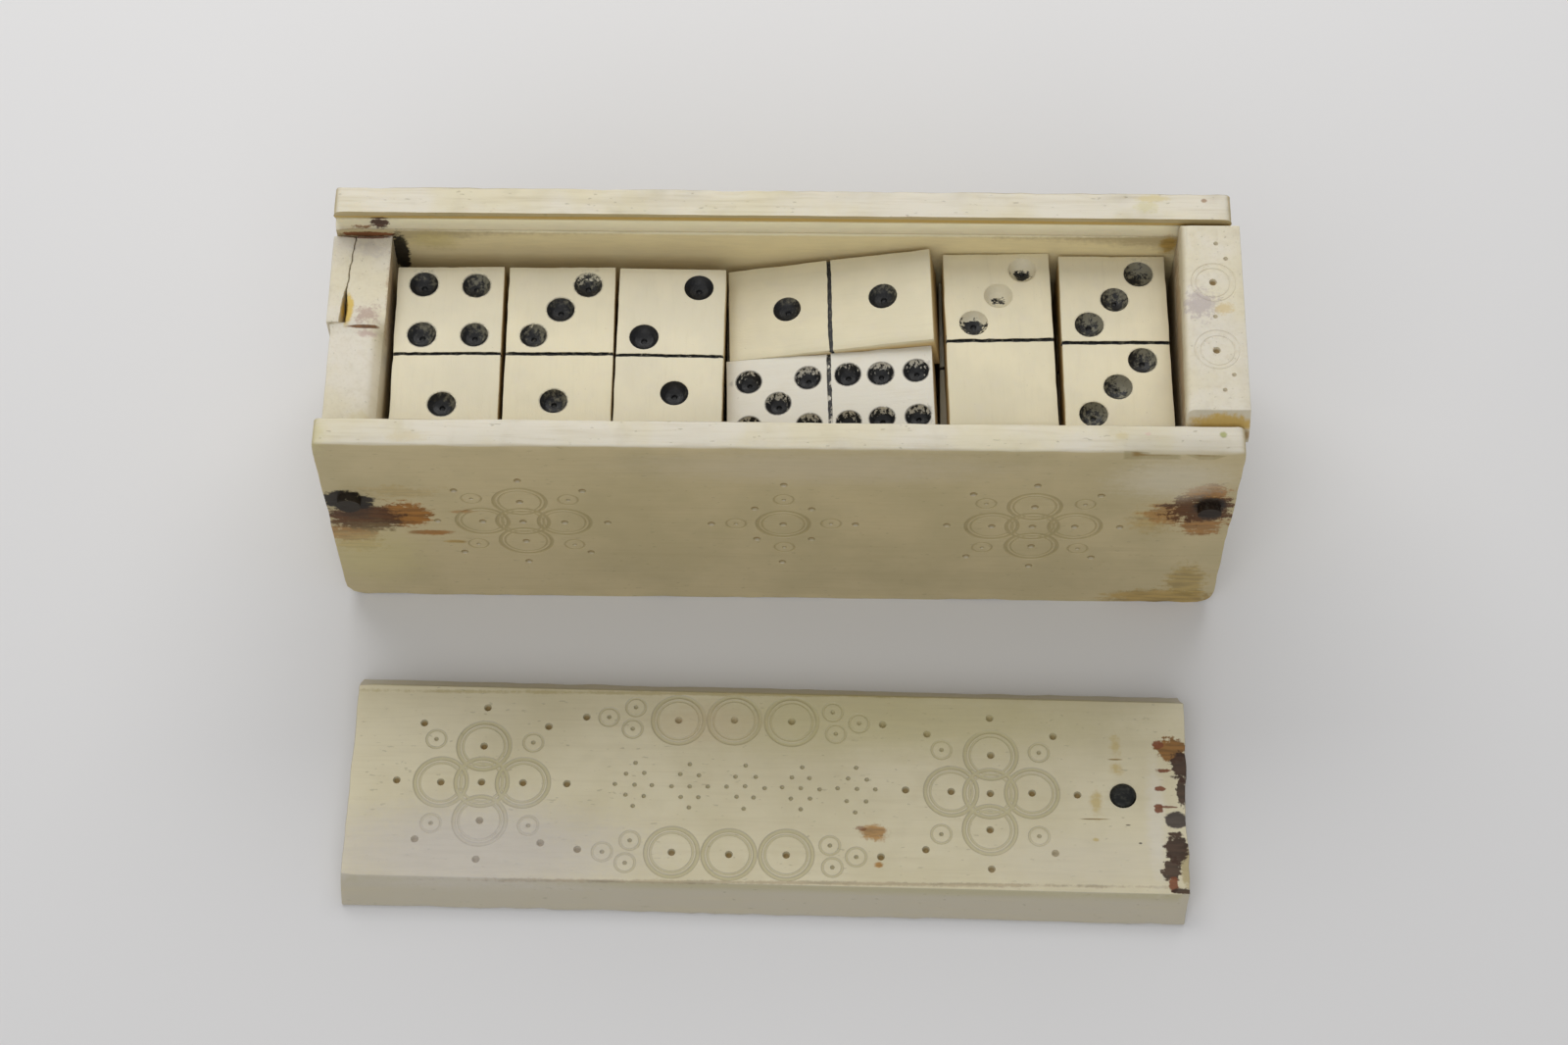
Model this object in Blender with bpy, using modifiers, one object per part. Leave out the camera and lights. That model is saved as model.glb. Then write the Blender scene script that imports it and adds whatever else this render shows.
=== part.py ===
"""A boxed set of bone dominoes: box, sliding lid taken off, and 28 tiles.

The box is four bone boards and two end blocks, nailed together.  Its long walls carry a
dovetail channel under the rim, and the lid slides in that channel from the low left end.
Here the lid is off and lies in front of the box, and the tiles lie in the box in seven
stacks of four: five stacks across the box, and two that lie along it in the middle.

World frame, metres, +Z up: the origin is at the centre of the box's underside, +X runs
along the box and -Y is the side with the loose lid.
"""
import math

import bmesh
import bpy
from mathutils import Matrix, Vector

MILLIMETRE = 0.001
OVERRUN = 0.001              # how far a cutter reaches past what it cuts
MERGE_DISTANCE = 0.00001     # points closer than this are one point

# Box
BOX_LENGTH = 0.102
BOX_WIDTH = 0.034
RIM_HEIGHT = 0.035
WALL_THICKNESS = 0.0039
FLOOR_THICKNESS = 0.0043
BOARD_GAP = 0.0001           # between boards that are nailed against each other

# Lid channel, as the section of the space that the lid slides in
LEDGE_HEIGHT = 0.0322
LIP_EDGE_HEIGHT = 0.0340
CHANNEL_HALF_WIDTH = 0.0145
LIP_HALF_OPENING = 0.0136

# End blocks
LEFT_BLOCK_INNER_X = -0.0446
LEFT_BLOCK_HEIGHT = 0.0310
RIGHT_BLOCK_INNER_X = 0.0450
RIGHT_BLOCK_HEIGHT = 0.0360
RIGHT_BLOCK_PROUD = 0.0006   # how far it stands out past the walls' ends
RIGHT_BLOCK_PLAY = 0.0003    # between its head and the lid channel
SHOULDER_SLOPE = 0.0001      # its shoulders rise this much outwards, so they clear the ledges

# Splinter that has split off the left block's outer back corner
SPLINTER_THICKNESS = 0.0018
SPLINTER_FRONT_Y = 0.0010
SPLINTER_BOTTOM_Z = 0.0120
CRACK_GAP = 0.0003

# Lid
LID_LENGTH = 0.0952
LID_THICKNESS = 0.0036
LID_BOTTOM_HALF_WIDTH = 0.0141
LID_TOP_HALF_WIDTH = 0.0118
LID_EDGE = 0.0003            # upright flat at the foot of the lid's bevels
LID_CENTRE = (-0.0009, -0.0431)
LID_TURN = math.radians(-0.8)
PEG_RADIUS = 0.0014
PEG_FROM_END = 0.0075
PEG_PROUD = 0.0005
PEG_ROUNDING = 0.00035       # bevel round the peg's top
PEG_ABOVE_TABLE = 0.0003
PEG_GAP = 0.0002

# Nails
NAIL_SHANK_RADIUS = 0.0006
NAIL_HEAD_RADIUS = 0.0011
NAIL_HEAD_THICKNESS = 0.0004
NAIL_LENGTH = 0.0100
NAIL_NECK = 0.0001           # the cone from the head down to the shank
NAIL_POINT = 0.0015
NAIL_SUNK = 0.0001
NAIL_GAP = 0.0002
WALL_NAIL_X = 0.0482
WALL_NAIL_Z = 0.0228
FLOOR_NAIL_Y = 0.0065
ROUND_SIDES = 10

# Tiles
TILE_LENGTH = 0.0234
TILE_WIDTH = 0.0121
LAYER_GAP = 0.0001
LAYERS = 4
PIP_RADIUS = 0.00158
PIP_DEPTH = 0.0013
PIP_OVERRUN = 0.0001         # small, so that the cones of a six don't meet above the face
PIP_SIDES = 8
GROOVE_WIDTH = 0.0005
GROOVE_DEPTH = 0.0004
GROOVE_END = 0.0002          # bone left whole at each end of the dividing line
PIP_ALONG = 0.0034           # pip centres from the middle of their half, along the tile
PIP_ACROSS = 0.0031
SIX_ALONG = 0.0038

# Places of the seven stacks: x, y, turn about Z and tile thickness, and the top tile's
# values (first half, second half).  The first half points to +Y, or to -X when along.
# The two middle stacks are of thinner tiles, so their top tiles lie lower.
ACROSS = math.radians(90)
ALONG = math.radians(180)
THICK = 0.0060
THIN = 0.0054
STACKS = [
    (-0.0377, -0.0013, ACROSS, THICK, (4, 1)),
    (-0.0250, -0.0012, ACROSS, THICK, (3, 1)),
    (-0.0125, -0.0013, ACROSS, THICK, (2, 1)),
    (0.0054, 0.0065, ALONG, THIN, (1, 1)),
    (0.0055, -0.0065, ALONG, THIN, (5, 6)),
    (0.0243, 0.0011, ACROSS, THICK, (3, 0)),
    (0.0379, 0.0010, ACROSS, THICK, (3, 3)),
]
# Top tiles that don't lie square: shift, turn about Z, and tilt that lifts the +X end
TOP_SHIFT = {(1, 1): (0.0003, -0.0005), (5, 6): (0.0002, 0.0003), (3, 0): (0.0005, 0.0001)}
TOP_TURN = {
    (4, 1): math.radians(0.8),
    (3, 1): math.radians(0.6),
    (2, 1): math.radians(-0.4),
    (1, 1): math.radians(1.8),
    (5, 6): math.radians(1.8),
    (3, 0): math.radians(1.5),
    (3, 3): math.radians(0.6),
}
TOP_TILT = {(1, 1): math.radians(10.0), (5, 6): math.radians(6.8)}
HIGHEST_PIPS = 6

COLOURS = {
    "wall_bone": (0.66, 0.60, 0.45, 1.0),
    "block_bone": (0.68, 0.63, 0.50, 1.0),
    "lid_bone": (0.70, 0.65, 0.50, 1.0),
    "tile_bone": (0.78, 0.71, 0.50, 1.0),
    "black_peg": (0.02, 0.02, 0.02, 1.0),
    "rusty_iron": (0.10, 0.05, 0.03, 1.0),
}
METALS = {"rusty_iron"}

for old in list(bpy.data.objects):
    bpy.data.objects.remove(old)


def new_collection(name):
    collection = bpy.data.collections.new(name)
    bpy.context.scene.collection.children.link(collection)
    return collection


PARTS = new_collection("boxed_domino_set")
CUTTERS = new_collection("cutters")


def material(part_name, finish):
    """A Principled material of its own for each part."""
    made = bpy.data.materials.new(part_name + "_" + finish)
    made.use_nodes = True
    shader = made.node_tree.nodes["Principled BSDF"]
    shader.inputs["Base Color"].default_value = COLOURS[finish]
    shader.inputs["Roughness"].default_value = 0.7 if finish in METALS else 0.45
    shader.inputs["Metallic"].default_value = 0.6 if finish in METALS else 0.0
    return made


def add_object(name, mesh, collection):
    made = bpy.data.objects.new(name, mesh)
    collection.objects.link(made)
    return made


def add_part(name, mesh, finish, location=(0, 0, 0)):
    part = add_object(name, mesh, PARTS)
    part.location = location
    part.data.materials.clear()
    part.data.materials.append(material(name, finish))
    return part


def box_mesh(name, low, high):
    """A box between two corners, from a cube primitive."""
    size = Vector(high) - Vector(low)
    centre = (Vector(high) + Vector(low)) / 2
    shape = bmesh.new()
    place = Matrix.Translation(centre) @ Matrix.Diagonal((*size, 1))
    bmesh.ops.create_cube(shape, size=1, matrix=place)
    mesh = bpy.data.meshes.new(name)
    shape.to_mesh(mesh)
    shape.free()
    return mesh


def bar_mesh(name, section, start_x, end_x):
    """A bar along X whose section is an outline of (y, z) points.

    The curve is drawn in millimetres, because its fill loses points that lie close together.
    """
    curve = bpy.data.curves.new(name, "CURVE")
    curve.dimensions = "2D"
    curve.fill_mode = "BOTH"
    curve.extrude = (end_x - start_x) / 2 / MILLIMETRE
    spline = curve.splines.new("POLY")
    spline.points.add(len(section) - 1)
    for point, (y, z) in zip(spline.points, section):
        point.co = (y / MILLIMETRE, z / MILLIMETRE, 0, 1)
    spline.use_cyclic_u = True
    outline = add_object(name, curve, CUTTERS)
    bpy.context.view_layer.update()
    evaluated = outline.evaluated_get(bpy.context.evaluated_depsgraph_get())
    mesh = bpy.data.meshes.new_from_object(evaluated)
    bpy.data.objects.remove(outline)
    shape = bmesh.new()
    shape.from_mesh(mesh)
    bmesh.ops.remove_doubles(shape, verts=shape.verts, dist=MERGE_DISTANCE / MILLIMETRE)
    # The outline's (x, y, z) becomes the world's (y, z, x)
    turn = Matrix(((0, 0, 1), (1, 0, 0), (0, 1, 0))).to_4x4() @ Matrix.Scale(MILLIMETRE, 4)
    shift = Matrix.Translation(((start_x + end_x) / 2, 0, 0))
    bmesh.ops.transform(shape, matrix=shift @ turn, verts=shape.verts)
    shape.to_mesh(mesh)
    shape.free()
    return mesh


def turned_mesh(name, profile, sides):
    """A solid turned about Z; the profile runs from the top centre to the bottom centre."""
    shape = bmesh.new()
    points = [shape.verts.new((radius, 0, height)) for radius, height in profile]
    for upper, lower in zip(points, points[1:]):
        shape.edges.new((upper, lower))
    outline_mesh = bpy.data.meshes.new(name)
    shape.to_mesh(outline_mesh)
    shape.free()
    outline = add_object(name, outline_mesh, CUTTERS)
    screw = outline.modifiers.new("Turn", "SCREW")
    screw.steps = sides
    screw.render_steps = sides
    screw.use_merge_vertices = True
    screw.merge_threshold = MERGE_DISTANCE
    screw.use_smooth_shade = False
    bpy.context.view_layer.update()
    evaluated = outline.evaluated_get(bpy.context.evaluated_depsgraph_get())
    mesh = bpy.data.meshes.new_from_object(evaluated)
    bpy.data.objects.remove(outline)
    return mesh


def cut(part, cutter_mesh, matrix=Matrix.Identity(4)):
    """Take one cutter's shape out of a part with an exact Boolean."""
    cutter = add_object(part.name + "_cutter", cutter_mesh, CUTTERS)
    cutter.matrix_world = matrix
    cutter.hide_render = True
    cutter.display_type = "WIRE"
    boolean = part.modifiers.new("Cut", "BOOLEAN")
    boolean.operation = "DIFFERENCE"
    boolean.solver = "EXACT"
    boolean.object = cutter


def channel_section():
    """The lid channel with room above it, as (y, z) points."""
    above = RIM_HEIGHT + OVERRUN
    half = [
        (CHANNEL_HALF_WIDTH, LEDGE_HEIGHT),
        (LIP_HALF_OPENING, LIP_EDGE_HEIGHT),
        (LIP_HALF_OPENING, above),
    ]
    return half + [(-y, z) for y, z in reversed(half)]


def make_box():
    half_length = BOX_LENGTH / 2
    half_width = BOX_WIDTH / 2
    inner = half_width - WALL_THICKNESS
    fitted = inner - BOARD_GAP

    floor_low = (-half_length + BOARD_GAP, -fitted, 0)
    floor_high = (half_length - BOARD_GAP, fitted, FLOOR_THICKNESS)
    floor = add_part("floor_board", box_mesh("floor_board", floor_low, floor_high), "wall_bone")

    walls = {}
    for name, side in (("front_wall", -1), ("back_wall", 1)):
        ys = sorted((side * inner, side * half_width))
        low = (-half_length, ys[0], 0)
        high = (half_length, ys[1], RIM_HEIGHT)
        walls[side] = add_part(name, box_mesh(name, low, high), "wall_bone")
        end = half_length + OVERRUN
        cut(walls[side], bar_mesh(name + "_channel", channel_section(), -end, end))

    foot = FLOOR_THICKNESS + BOARD_GAP
    low = (-half_length, -fitted, foot)
    high = (LEFT_BLOCK_INNER_X, fitted, LEFT_BLOCK_HEIGHT)
    left = add_part("left_end_block", box_mesh("left_end_block", low, high), "block_bone")
    split_x = -half_length + SPLINTER_THICKNESS
    notch_low = (-half_length - OVERRUN, SPLINTER_FRONT_Y, SPLINTER_BOTTOM_Z)
    notch_high = (split_x + CRACK_GAP, half_width, RIM_HEIGHT)
    cut(left, box_mesh("notch", notch_low, notch_high))
    low = (-half_length - CRACK_GAP, SPLINTER_FRONT_Y + CRACK_GAP, SPLINTER_BOTTOM_Z + CRACK_GAP)
    high = (split_x, fitted, LEFT_BLOCK_HEIGHT)
    name = "left_block_splinter"
    add_part(name, box_mesh(name, low, high), "block_bone")

    # The right block's head fills the lid channel's section, a little smaller all round
    shoulder = LEDGE_HEIGHT + BOARD_GAP
    half = [
        (fitted, foot),
        (fitted, shoulder),
        (CHANNEL_HALF_WIDTH - RIGHT_BLOCK_PLAY, shoulder + SHOULDER_SLOPE),
        (LIP_HALF_OPENING - RIGHT_BLOCK_PLAY, LIP_EDGE_HEIGHT),
        (LID_TOP_HALF_WIDTH + RIGHT_BLOCK_PLAY, RIGHT_BLOCK_HEIGHT),
    ]
    section = half + [(-y, z) for y, z in reversed(half)]
    end_x = half_length + RIGHT_BLOCK_PROUD
    right_mesh = bar_mesh("right_end_block", section, RIGHT_BLOCK_INNER_X, end_x)
    right = add_part("right_end_block", right_mesh, "block_bone")
    return floor, walls, {-1: left, 1: right}


def nail_profile(gap, above):
    """Half outline of a nail, or of its hole when gap is over zero.  The head's top is at 0."""
    head = NAIL_HEAD_RADIUS + gap
    shank = NAIL_SHANK_RADIUS + gap
    return [
        (0, above),
        (head, above),
        (head, -NAIL_HEAD_THICKNESS - gap),
        (shank, -NAIL_HEAD_THICKNESS - 2 * gap - NAIL_NECK),
        (shank, -NAIL_LENGTH + NAIL_POINT),
        (0, -NAIL_LENGTH - gap),
    ]


def drive_nail(name, head_centre, inward, boards):
    """A nail whose head is sunk in the first board, with a hole through each board it enters."""
    turn = Vector(inward).to_track_quat("-Z", "Y").to_matrix().to_4x4()
    place = Matrix.Translation(Vector(head_centre) + Vector(inward) * NAIL_SUNK) @ turn
    nail = add_part(name, turned_mesh(name, nail_profile(0, 0), ROUND_SIDES), "rusty_iron")
    nail.matrix_world = place
    for board in boards:
        hole = turned_mesh(name + "_hole", nail_profile(NAIL_GAP, OVERRUN), ROUND_SIDES)
        cut(board, hole, place)


def make_nails(floor, walls, blocks):
    for wall_name, wall_side in (("front", -1), ("back", 1)):
        for end_name, end_side in (("left", -1), ("right", 1)):
            centre = (end_side * WALL_NAIL_X, wall_side * BOX_WIDTH / 2, WALL_NAIL_Z)
            boards = (walls[wall_side], blocks[end_side])
            name = wall_name + "_" + end_name + "_nail"
            drive_nail(name, centre, (0, -wall_side, 0), boards)
            floor_centre = (end_side * WALL_NAIL_X, wall_side * FLOOR_NAIL_Y, 0)
            drive_nail("floor_" + name, floor_centre, (0, 0, 1), (floor, blocks[end_side]))


def make_lid():
    """The loose lid, its bevels up, and the black peg set in its right end."""
    half = [
        (LID_BOTTOM_HALF_WIDTH, 0),
        (LID_BOTTOM_HALF_WIDTH, LID_EDGE),
        (LID_TOP_HALF_WIDTH, LID_THICKNESS),
    ]
    section = half + [(-y, z) for y, z in reversed(half)]
    place = Matrix.Translation((*LID_CENTRE, 0)) @ Matrix.Rotation(LID_TURN, 4, "Z")
    lid = add_part("lid", bar_mesh("lid", section, -LID_LENGTH / 2, LID_LENGTH / 2), "lid_bone")
    lid.matrix_world = place

    def peg_profile(gap, top, bottom):
        radius = PEG_RADIUS + gap
        rounded = [(0, top), (radius - PEG_ROUNDING, top), (radius, top - PEG_ROUNDING)]
        return rounded + [(radius, bottom), (0, bottom)]

    peg_place = place @ Matrix.Translation((LID_LENGTH / 2 - PEG_FROM_END, 0, 0))
    top = LID_THICKNESS + PEG_PROUD
    peg_mesh = turned_mesh("lid_peg", peg_profile(0, top, PEG_ABOVE_TABLE), ROUND_SIDES)
    peg = add_part("lid_peg", peg_mesh, "black_peg")
    peg.matrix_world = peg_place
    hole = turned_mesh("peg_hole", peg_profile(PEG_GAP, top + OVERRUN, -OVERRUN), ROUND_SIDES)
    cut(lid, hole, peg_place)


def pip_places(value):
    """Pip centres of one half, from the middle of the half: (along, across)."""
    corner = (PIP_ALONG, PIP_ACROSS)
    places = []
    if value % 2 == 1:
        places.append((0, 0))
    if value in (2, 3, 4, 5):
        places += [(corner[0], -corner[1]), (-corner[0], corner[1])]
    if value in (4, 5):
        places += [corner, (-corner[0], -corner[1])]
    if value == 6:
        for along in (-SIX_ALONG, 0, SIX_ALONG):
            places += [(along, -PIP_ACROSS), (along, PIP_ACROSS)]
    return places


def tile_cutter(values, top):
    """Conical pips and the dividing line in one cutter, for a face at the height top."""
    shape = bmesh.new()
    over = PIP_OVERRUN
    spread = (PIP_DEPTH + over) / PIP_DEPTH
    for value, side in zip(values, (1, -1)):
        for along, across in pip_places(value):
            centre = (side * TILE_LENGTH / 4 + along, across, top + (over - PIP_DEPTH) / 2)
            flip = Matrix.Rotation(math.pi, 4, "X")
            bmesh.ops.create_cone(
                shape,
                cap_ends=True,
                segments=PIP_SIDES,
                radius1=PIP_RADIUS * spread,
                radius2=0,
                depth=PIP_DEPTH + over,
                matrix=Matrix.Translation(centre) @ flip,
            )
    size = (GROOVE_WIDTH, TILE_WIDTH - 2 * GROOVE_END, GROOVE_DEPTH * 2)
    place = Matrix.Translation((0, 0, top)) @ Matrix.Diagonal((*size, 1))
    bmesh.ops.create_cube(shape, size=1, matrix=place)
    bmesh.ops.remove_doubles(shape, verts=shape.verts, dist=MERGE_DISTANCE)
    mesh = bpy.data.meshes.new("pips")
    shape.to_mesh(mesh)
    shape.free()
    return mesh


def make_tile(values, thickness, place):
    name = "tile_%d_%d" % values
    half = Vector((TILE_LENGTH, TILE_WIDTH, thickness)) / 2
    tile = add_part(name, box_mesh(name, -half, half), "tile_bone")
    tile.matrix_world = place
    cut(tile, tile_cutter(values, thickness / 2), place)


def spare_values():
    """The pairs of a double-six set that aren't on top, lowest first."""
    shown = {tuple(sorted(stack[-1])) for stack in STACKS}
    pairs = [(low, high) for low in range(HIGHEST_PIPS + 1) for high in range(low, HIGHEST_PIPS + 1)]
    return [pair for pair in pairs if pair not in shown]


def layer_centre(layer, thickness):
    """Height of the middle of a tile, with the lowest layer as 0."""
    return FLOOR_THICKNESS + (layer + 1) * (thickness + LAYER_GAP) - thickness / 2


def lean(tilt, thickness):
    """Tilt a tile on the lower edge of its -X end, and keep that end's upper edge in place."""
    foot = Vector((-TILE_LENGTH / 2, 0, -thickness / 2))
    turned = Matrix.Translation(foot) @ Matrix.Rotation(-tilt, 4, "Y") @ Matrix.Translation(-foot)
    return Matrix.Translation((thickness * math.sin(tilt), 0, 0)) @ turned


def make_tiles():
    spare = iter(spare_values())
    for layer in range(LAYERS - 1):
        for x, y, turn, thickness, _ in STACKS:
            centre = Matrix.Translation((x, y, layer_centre(layer, thickness)))
            make_tile(next(spare), thickness, centre @ Matrix.Rotation(turn, 4, "Z"))
    for x, y, turn, thickness, values in STACKS:
        shift_x, shift_y = TOP_SHIFT.get(values, (0, 0))
        height = layer_centre(LAYERS - 1, thickness)
        place = Matrix.Translation((x + shift_x, y + shift_y, height))
        place = place @ Matrix.Rotation(TOP_TURN[values], 4, "Z")
        place = place @ lean(TOP_TILT.get(values, 0), thickness)
        make_tile(values, thickness, place @ Matrix.Rotation(turn, 4, "Z"))


floor_board, box_walls, end_blocks = make_box()
make_nails(floor_board, box_walls, end_blocks)
make_lid()
make_tiles()
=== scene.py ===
"""Looks of the boxed bone domino set: worn and engraved bone, iron stains, and inked tiles."""
import math
import random

import bpy
from mathutils import Matrix, Vector, noise


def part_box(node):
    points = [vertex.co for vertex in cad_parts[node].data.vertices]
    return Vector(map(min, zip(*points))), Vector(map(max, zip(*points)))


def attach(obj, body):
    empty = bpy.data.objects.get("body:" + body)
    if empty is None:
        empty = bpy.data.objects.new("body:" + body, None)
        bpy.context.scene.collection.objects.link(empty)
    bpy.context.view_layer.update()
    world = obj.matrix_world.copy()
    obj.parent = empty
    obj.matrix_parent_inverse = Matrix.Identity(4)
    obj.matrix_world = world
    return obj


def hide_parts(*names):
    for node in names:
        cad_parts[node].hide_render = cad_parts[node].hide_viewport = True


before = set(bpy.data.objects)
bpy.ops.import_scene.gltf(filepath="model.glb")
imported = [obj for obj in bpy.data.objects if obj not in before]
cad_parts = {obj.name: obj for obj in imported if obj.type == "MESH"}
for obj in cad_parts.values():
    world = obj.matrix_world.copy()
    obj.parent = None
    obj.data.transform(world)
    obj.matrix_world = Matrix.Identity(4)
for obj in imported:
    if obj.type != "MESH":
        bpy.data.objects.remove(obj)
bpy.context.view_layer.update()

MM = 0.001
TOP = Vector((0, 0, 1))
FRONT = Vector((0, -1, 0))
RIGHT = Vector((1, 0, 0))
SIDES = ((1, 0), (-1, 0), (0, 1), (0, -1))
CORNERS = ((1, 1), (1, -1), (-1, 1), (-1, -1))

# The lid channel's section, as in the CAD model
LEDGE_HEIGHT = 32.2 * MM
LIP_EDGE_HEIGHT = 34.0 * MM
CHANNEL_HALF_WIDTH = 14.5 * MM
LIP_HALF_OPENING = 13.6 * MM

# The lid's section and its turn on the table
LID_LENGTH = 95.2 * MM
LID_TOP_HALF_WIDTH = 11.8 * MM
LID_BOTTOM_HALF_WIDTH = 14.1 * MM
LID_EDGE_THICKNESS = 0.3 * MM
LID_TURN = math.radians(-0.8)

# The right block's head, whose section follows the lid's
HEAD_FOOT_HALF_WIDTH = 14.15 * MM
HEAD_WAIST_HALF_WIDTH = 13.25 * MM
HEAD_TOP_HALF_WIDTH = LID_TOP_HALF_WIDTH + 0.3 * MM

# Ring-and-dot engraving, in millimetres
BIG_RING = 2.95
INNER_RING = 2.4
SMALL_RING = 1.12
WIDE_SCRIBE = 0.28
FINE_SCRIBE = 0.18
DOT_RADIUS = 0.46
PRICK_RADIUS = 0.28
HAND_UNSTEADINESS = 0.12
CROSS_STEP = 4.6
CHAIN_STEP = 6.45
LOZENGE_STEP = 6.3
LOZENGE_DOTS = (
    (1, 0), (0.5, 0.5), (0, 1), (-0.5, 0.5), (-1, 0), (-0.5, -0.5), (0, -1), (0.5, -0.5), (0, 0)
)

# Tiles
TILE_LENGTH = 23.4 * MM
TILE_WIDTH = 12.1 * MM
PIP_RADIUS = 1.62 * MM
PIP_DISH = 0.24 * MM
PIP_DISH_DEPTH = 0.02 * MM
PIP_ALONG = 3.4 * MM
PIP_ACROSS = 3.0 * MM
SIX_ALONG = 3.85 * MM
LINE_DEPTH = 0.3 * MM
PEG_SIDES = 28
TILE_TURNS = {
    "tile_4_1": 0.8, "tile_3_1": 0.6, "tile_2_1": -0.4, "tile_1_1": 1.8,
    "tile_5_6": 1.8, "tile_3_0": 1.5, "tile_3_3": 0.6,
}
TILE_TILTS = {"tile_1_1": 10.0, "tile_5_6": 6.8}


# ---- camera, light and floor
CAMERA_TARGET = Vector((0.4, -6.8, 0)) * MM
CAMERA_DISTANCE = 389 * MM
CAMERA_HEIGHT_ANGLE = math.radians(61.1)
CAMERA_SIDE_ANGLE = math.radians(1.0)
CAMERA_ROLL = math.radians(-0.3)
CAMERA_LENS = 74.6
WARM_WHITE = (1.0, 0.985, 0.965)


def direction(side_angle, height_angle):
    """Unit vector towards a place that many radians round from -Y and up from level."""
    flat = math.cos(height_angle)
    return Vector((math.sin(side_angle) * flat, -math.cos(side_angle) * flat, math.sin(height_angle)))


def aim(thing, place, target, roll=0.0):
    """Put a camera or a light in place, looking at the target."""
    turn = (target - place).to_track_quat("-Z", "Y").to_matrix().to_4x4()
    thing.matrix_world = Matrix.Translation(place) @ turn @ Matrix.Rotation(roll, 4, "Z")


def make_camera():
    camera = bpy.data.objects.new("camera", bpy.data.cameras.new("camera"))
    bpy.context.scene.collection.objects.link(camera)
    camera.data.lens = CAMERA_LENS
    camera.data.sensor_width = 36
    camera.data.clip_start = 0.01
    camera.data.clip_end = 10
    back = direction(CAMERA_SIDE_ANGLE, CAMERA_HEIGHT_ANGLE)
    aim(camera, CAMERA_TARGET + back * CAMERA_DISTANCE, CAMERA_TARGET, CAMERA_ROLL)
    bpy.context.scene.camera = camera


def add_softbox(name, place, size, power, colour):
    light = bpy.data.objects.new(name, bpy.data.lights.new(name, "AREA"))
    bpy.context.scene.collection.objects.link(light)
    light.data.shape = "RECTANGLE"
    light.data.size = size[0]
    light.data.size_y = size[1]
    light.data.energy = power
    light.data.color = colour
    aim(light, Vector(place), Vector((0, 0, 0)))


def make_studio():
    """A softbox behind and above the box, a broad fill in front, and an even room light."""
    add_softbox("rear_light", (-0.03, 0.25, 0.28), (0.50, 0.26), 0.97, WARM_WHITE)
    add_softbox("front_fill", (-0.1, -0.6, 0.6), (0.9, 0.6), 2.25, WARM_WHITE)
    world = bpy.data.worlds.new("room")
    world.use_nodes = True
    background = world.node_tree.nodes["Background"]
    background.inputs["Color"].default_value = (0.93, 0.95, 1.0, 1)
    background.inputs["Strength"].default_value = 0.35
    bpy.context.scene.world = world
    bpy.context.scene.view_settings.view_transform = "Standard"
    bpy.ops.mesh.primitive_plane_add(size=6, location=(0, 0, 0))
    floor = bpy.context.object
    floor.name = "table_top"
    floor.data.materials.append(table_paint())


# ---- modelling tools
def deselect():
    bpy.ops.object.select_all(action="DESELECT")


def edit_mode():
    bpy.ops.object.mode_set(mode="EDIT")


def object_mode():
    bpy.ops.object.mode_set(mode="OBJECT")


def use(piece):
    """Make this piece the only selected one, and the active one."""
    deselect()
    piece.select_set(True)
    bpy.context.view_layer.objects.active = piece


def settle(piece):
    """Move a piece's place, turn and scale into its mesh."""
    use(piece)
    bpy.ops.object.transform_apply(location=True, rotation=True, scale=True)


def add_box(name, low, high):
    low, high = Vector(low), Vector(high)
    deselect()
    bpy.ops.mesh.primitive_cube_add(size=1, location=(low + high) / 2, scale=high - low)
    piece = bpy.context.object
    piece.name = name
    settle(piece)
    return piece


def add_cylinder(name, radius, depth, place, sides, turn=(0, 0, 0)):
    deselect()
    size = {"vertices": sides, "radius": radius, "depth": depth}
    bpy.ops.mesh.primitive_cylinder_add(location=place, rotation=turn, **size)
    piece = bpy.context.object
    piece.name = name
    settle(piece)
    return piece


def corners(piece):
    places = [vertex.co for vertex in piece.data.vertices]
    low = Vector([min(place[axis] for place in places) for axis in range(3)])
    high = Vector([max(place[axis] for place in places) for axis in range(3)])
    return low, high


def slice_up(piece, cell):
    """Bisect a piece all the way along each axis, into cells of about this size."""
    low, high = corners(piece)
    use(piece)
    edit_mode()
    for axis in range(3):
        count = round((high[axis] - low[axis]) / cell[axis])
        normal = [0, 0, 0]
        normal[axis] = 1
        for step in range(1, count):
            bpy.ops.mesh.select_all(action="SELECT")
            bpy.ops.mesh.bisect(plane_co=low.lerp(high, step / count), plane_no=normal)
    object_mode()


def select_facing(piece, outward):
    """In edit mode, select only the faces that look this way."""
    edit_mode()
    bpy.ops.mesh.select_mode(type="FACE")
    bpy.ops.mesh.select_all(action="DESELECT")
    object_mode()
    for face in piece.data.polygons:
        face.select = face.normal.dot(outward) > 0.9
    edit_mode()


def draw_out(rise, along=1, across=1):
    """In edit mode, extrude the selected faces by this much and scale the new end."""
    bpy.ops.mesh.extrude_region_move(TRANSFORM_OT_translate={"value": (0, 0, rise)})
    bpy.ops.transform.resize(value=(along, across, 1))


def dome(rings):
    """In edit mode, round the selected top over, ring by ring: (inset, rise) in millimetres."""
    for inset, rise in rings:
        bpy.ops.mesh.inset(thickness=inset * MM)
        bpy.ops.transform.translate(value=(0, 0, rise * MM))


def bevel_edges(piece, chosen, width, segments):
    """Round the edges whose both ends pass the test."""
    use(piece)
    edit_mode()
    bpy.ops.mesh.select_mode(type="EDGE")
    bpy.ops.mesh.select_all(action="DESELECT")
    object_mode()
    for edge in piece.data.edges:
        edge.select = all(chosen(piece.data.vertices[end].co) for end in edge.vertices)
    edit_mode()
    bpy.ops.mesh.bevel(offset=width, segments=segments)
    object_mode()


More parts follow.
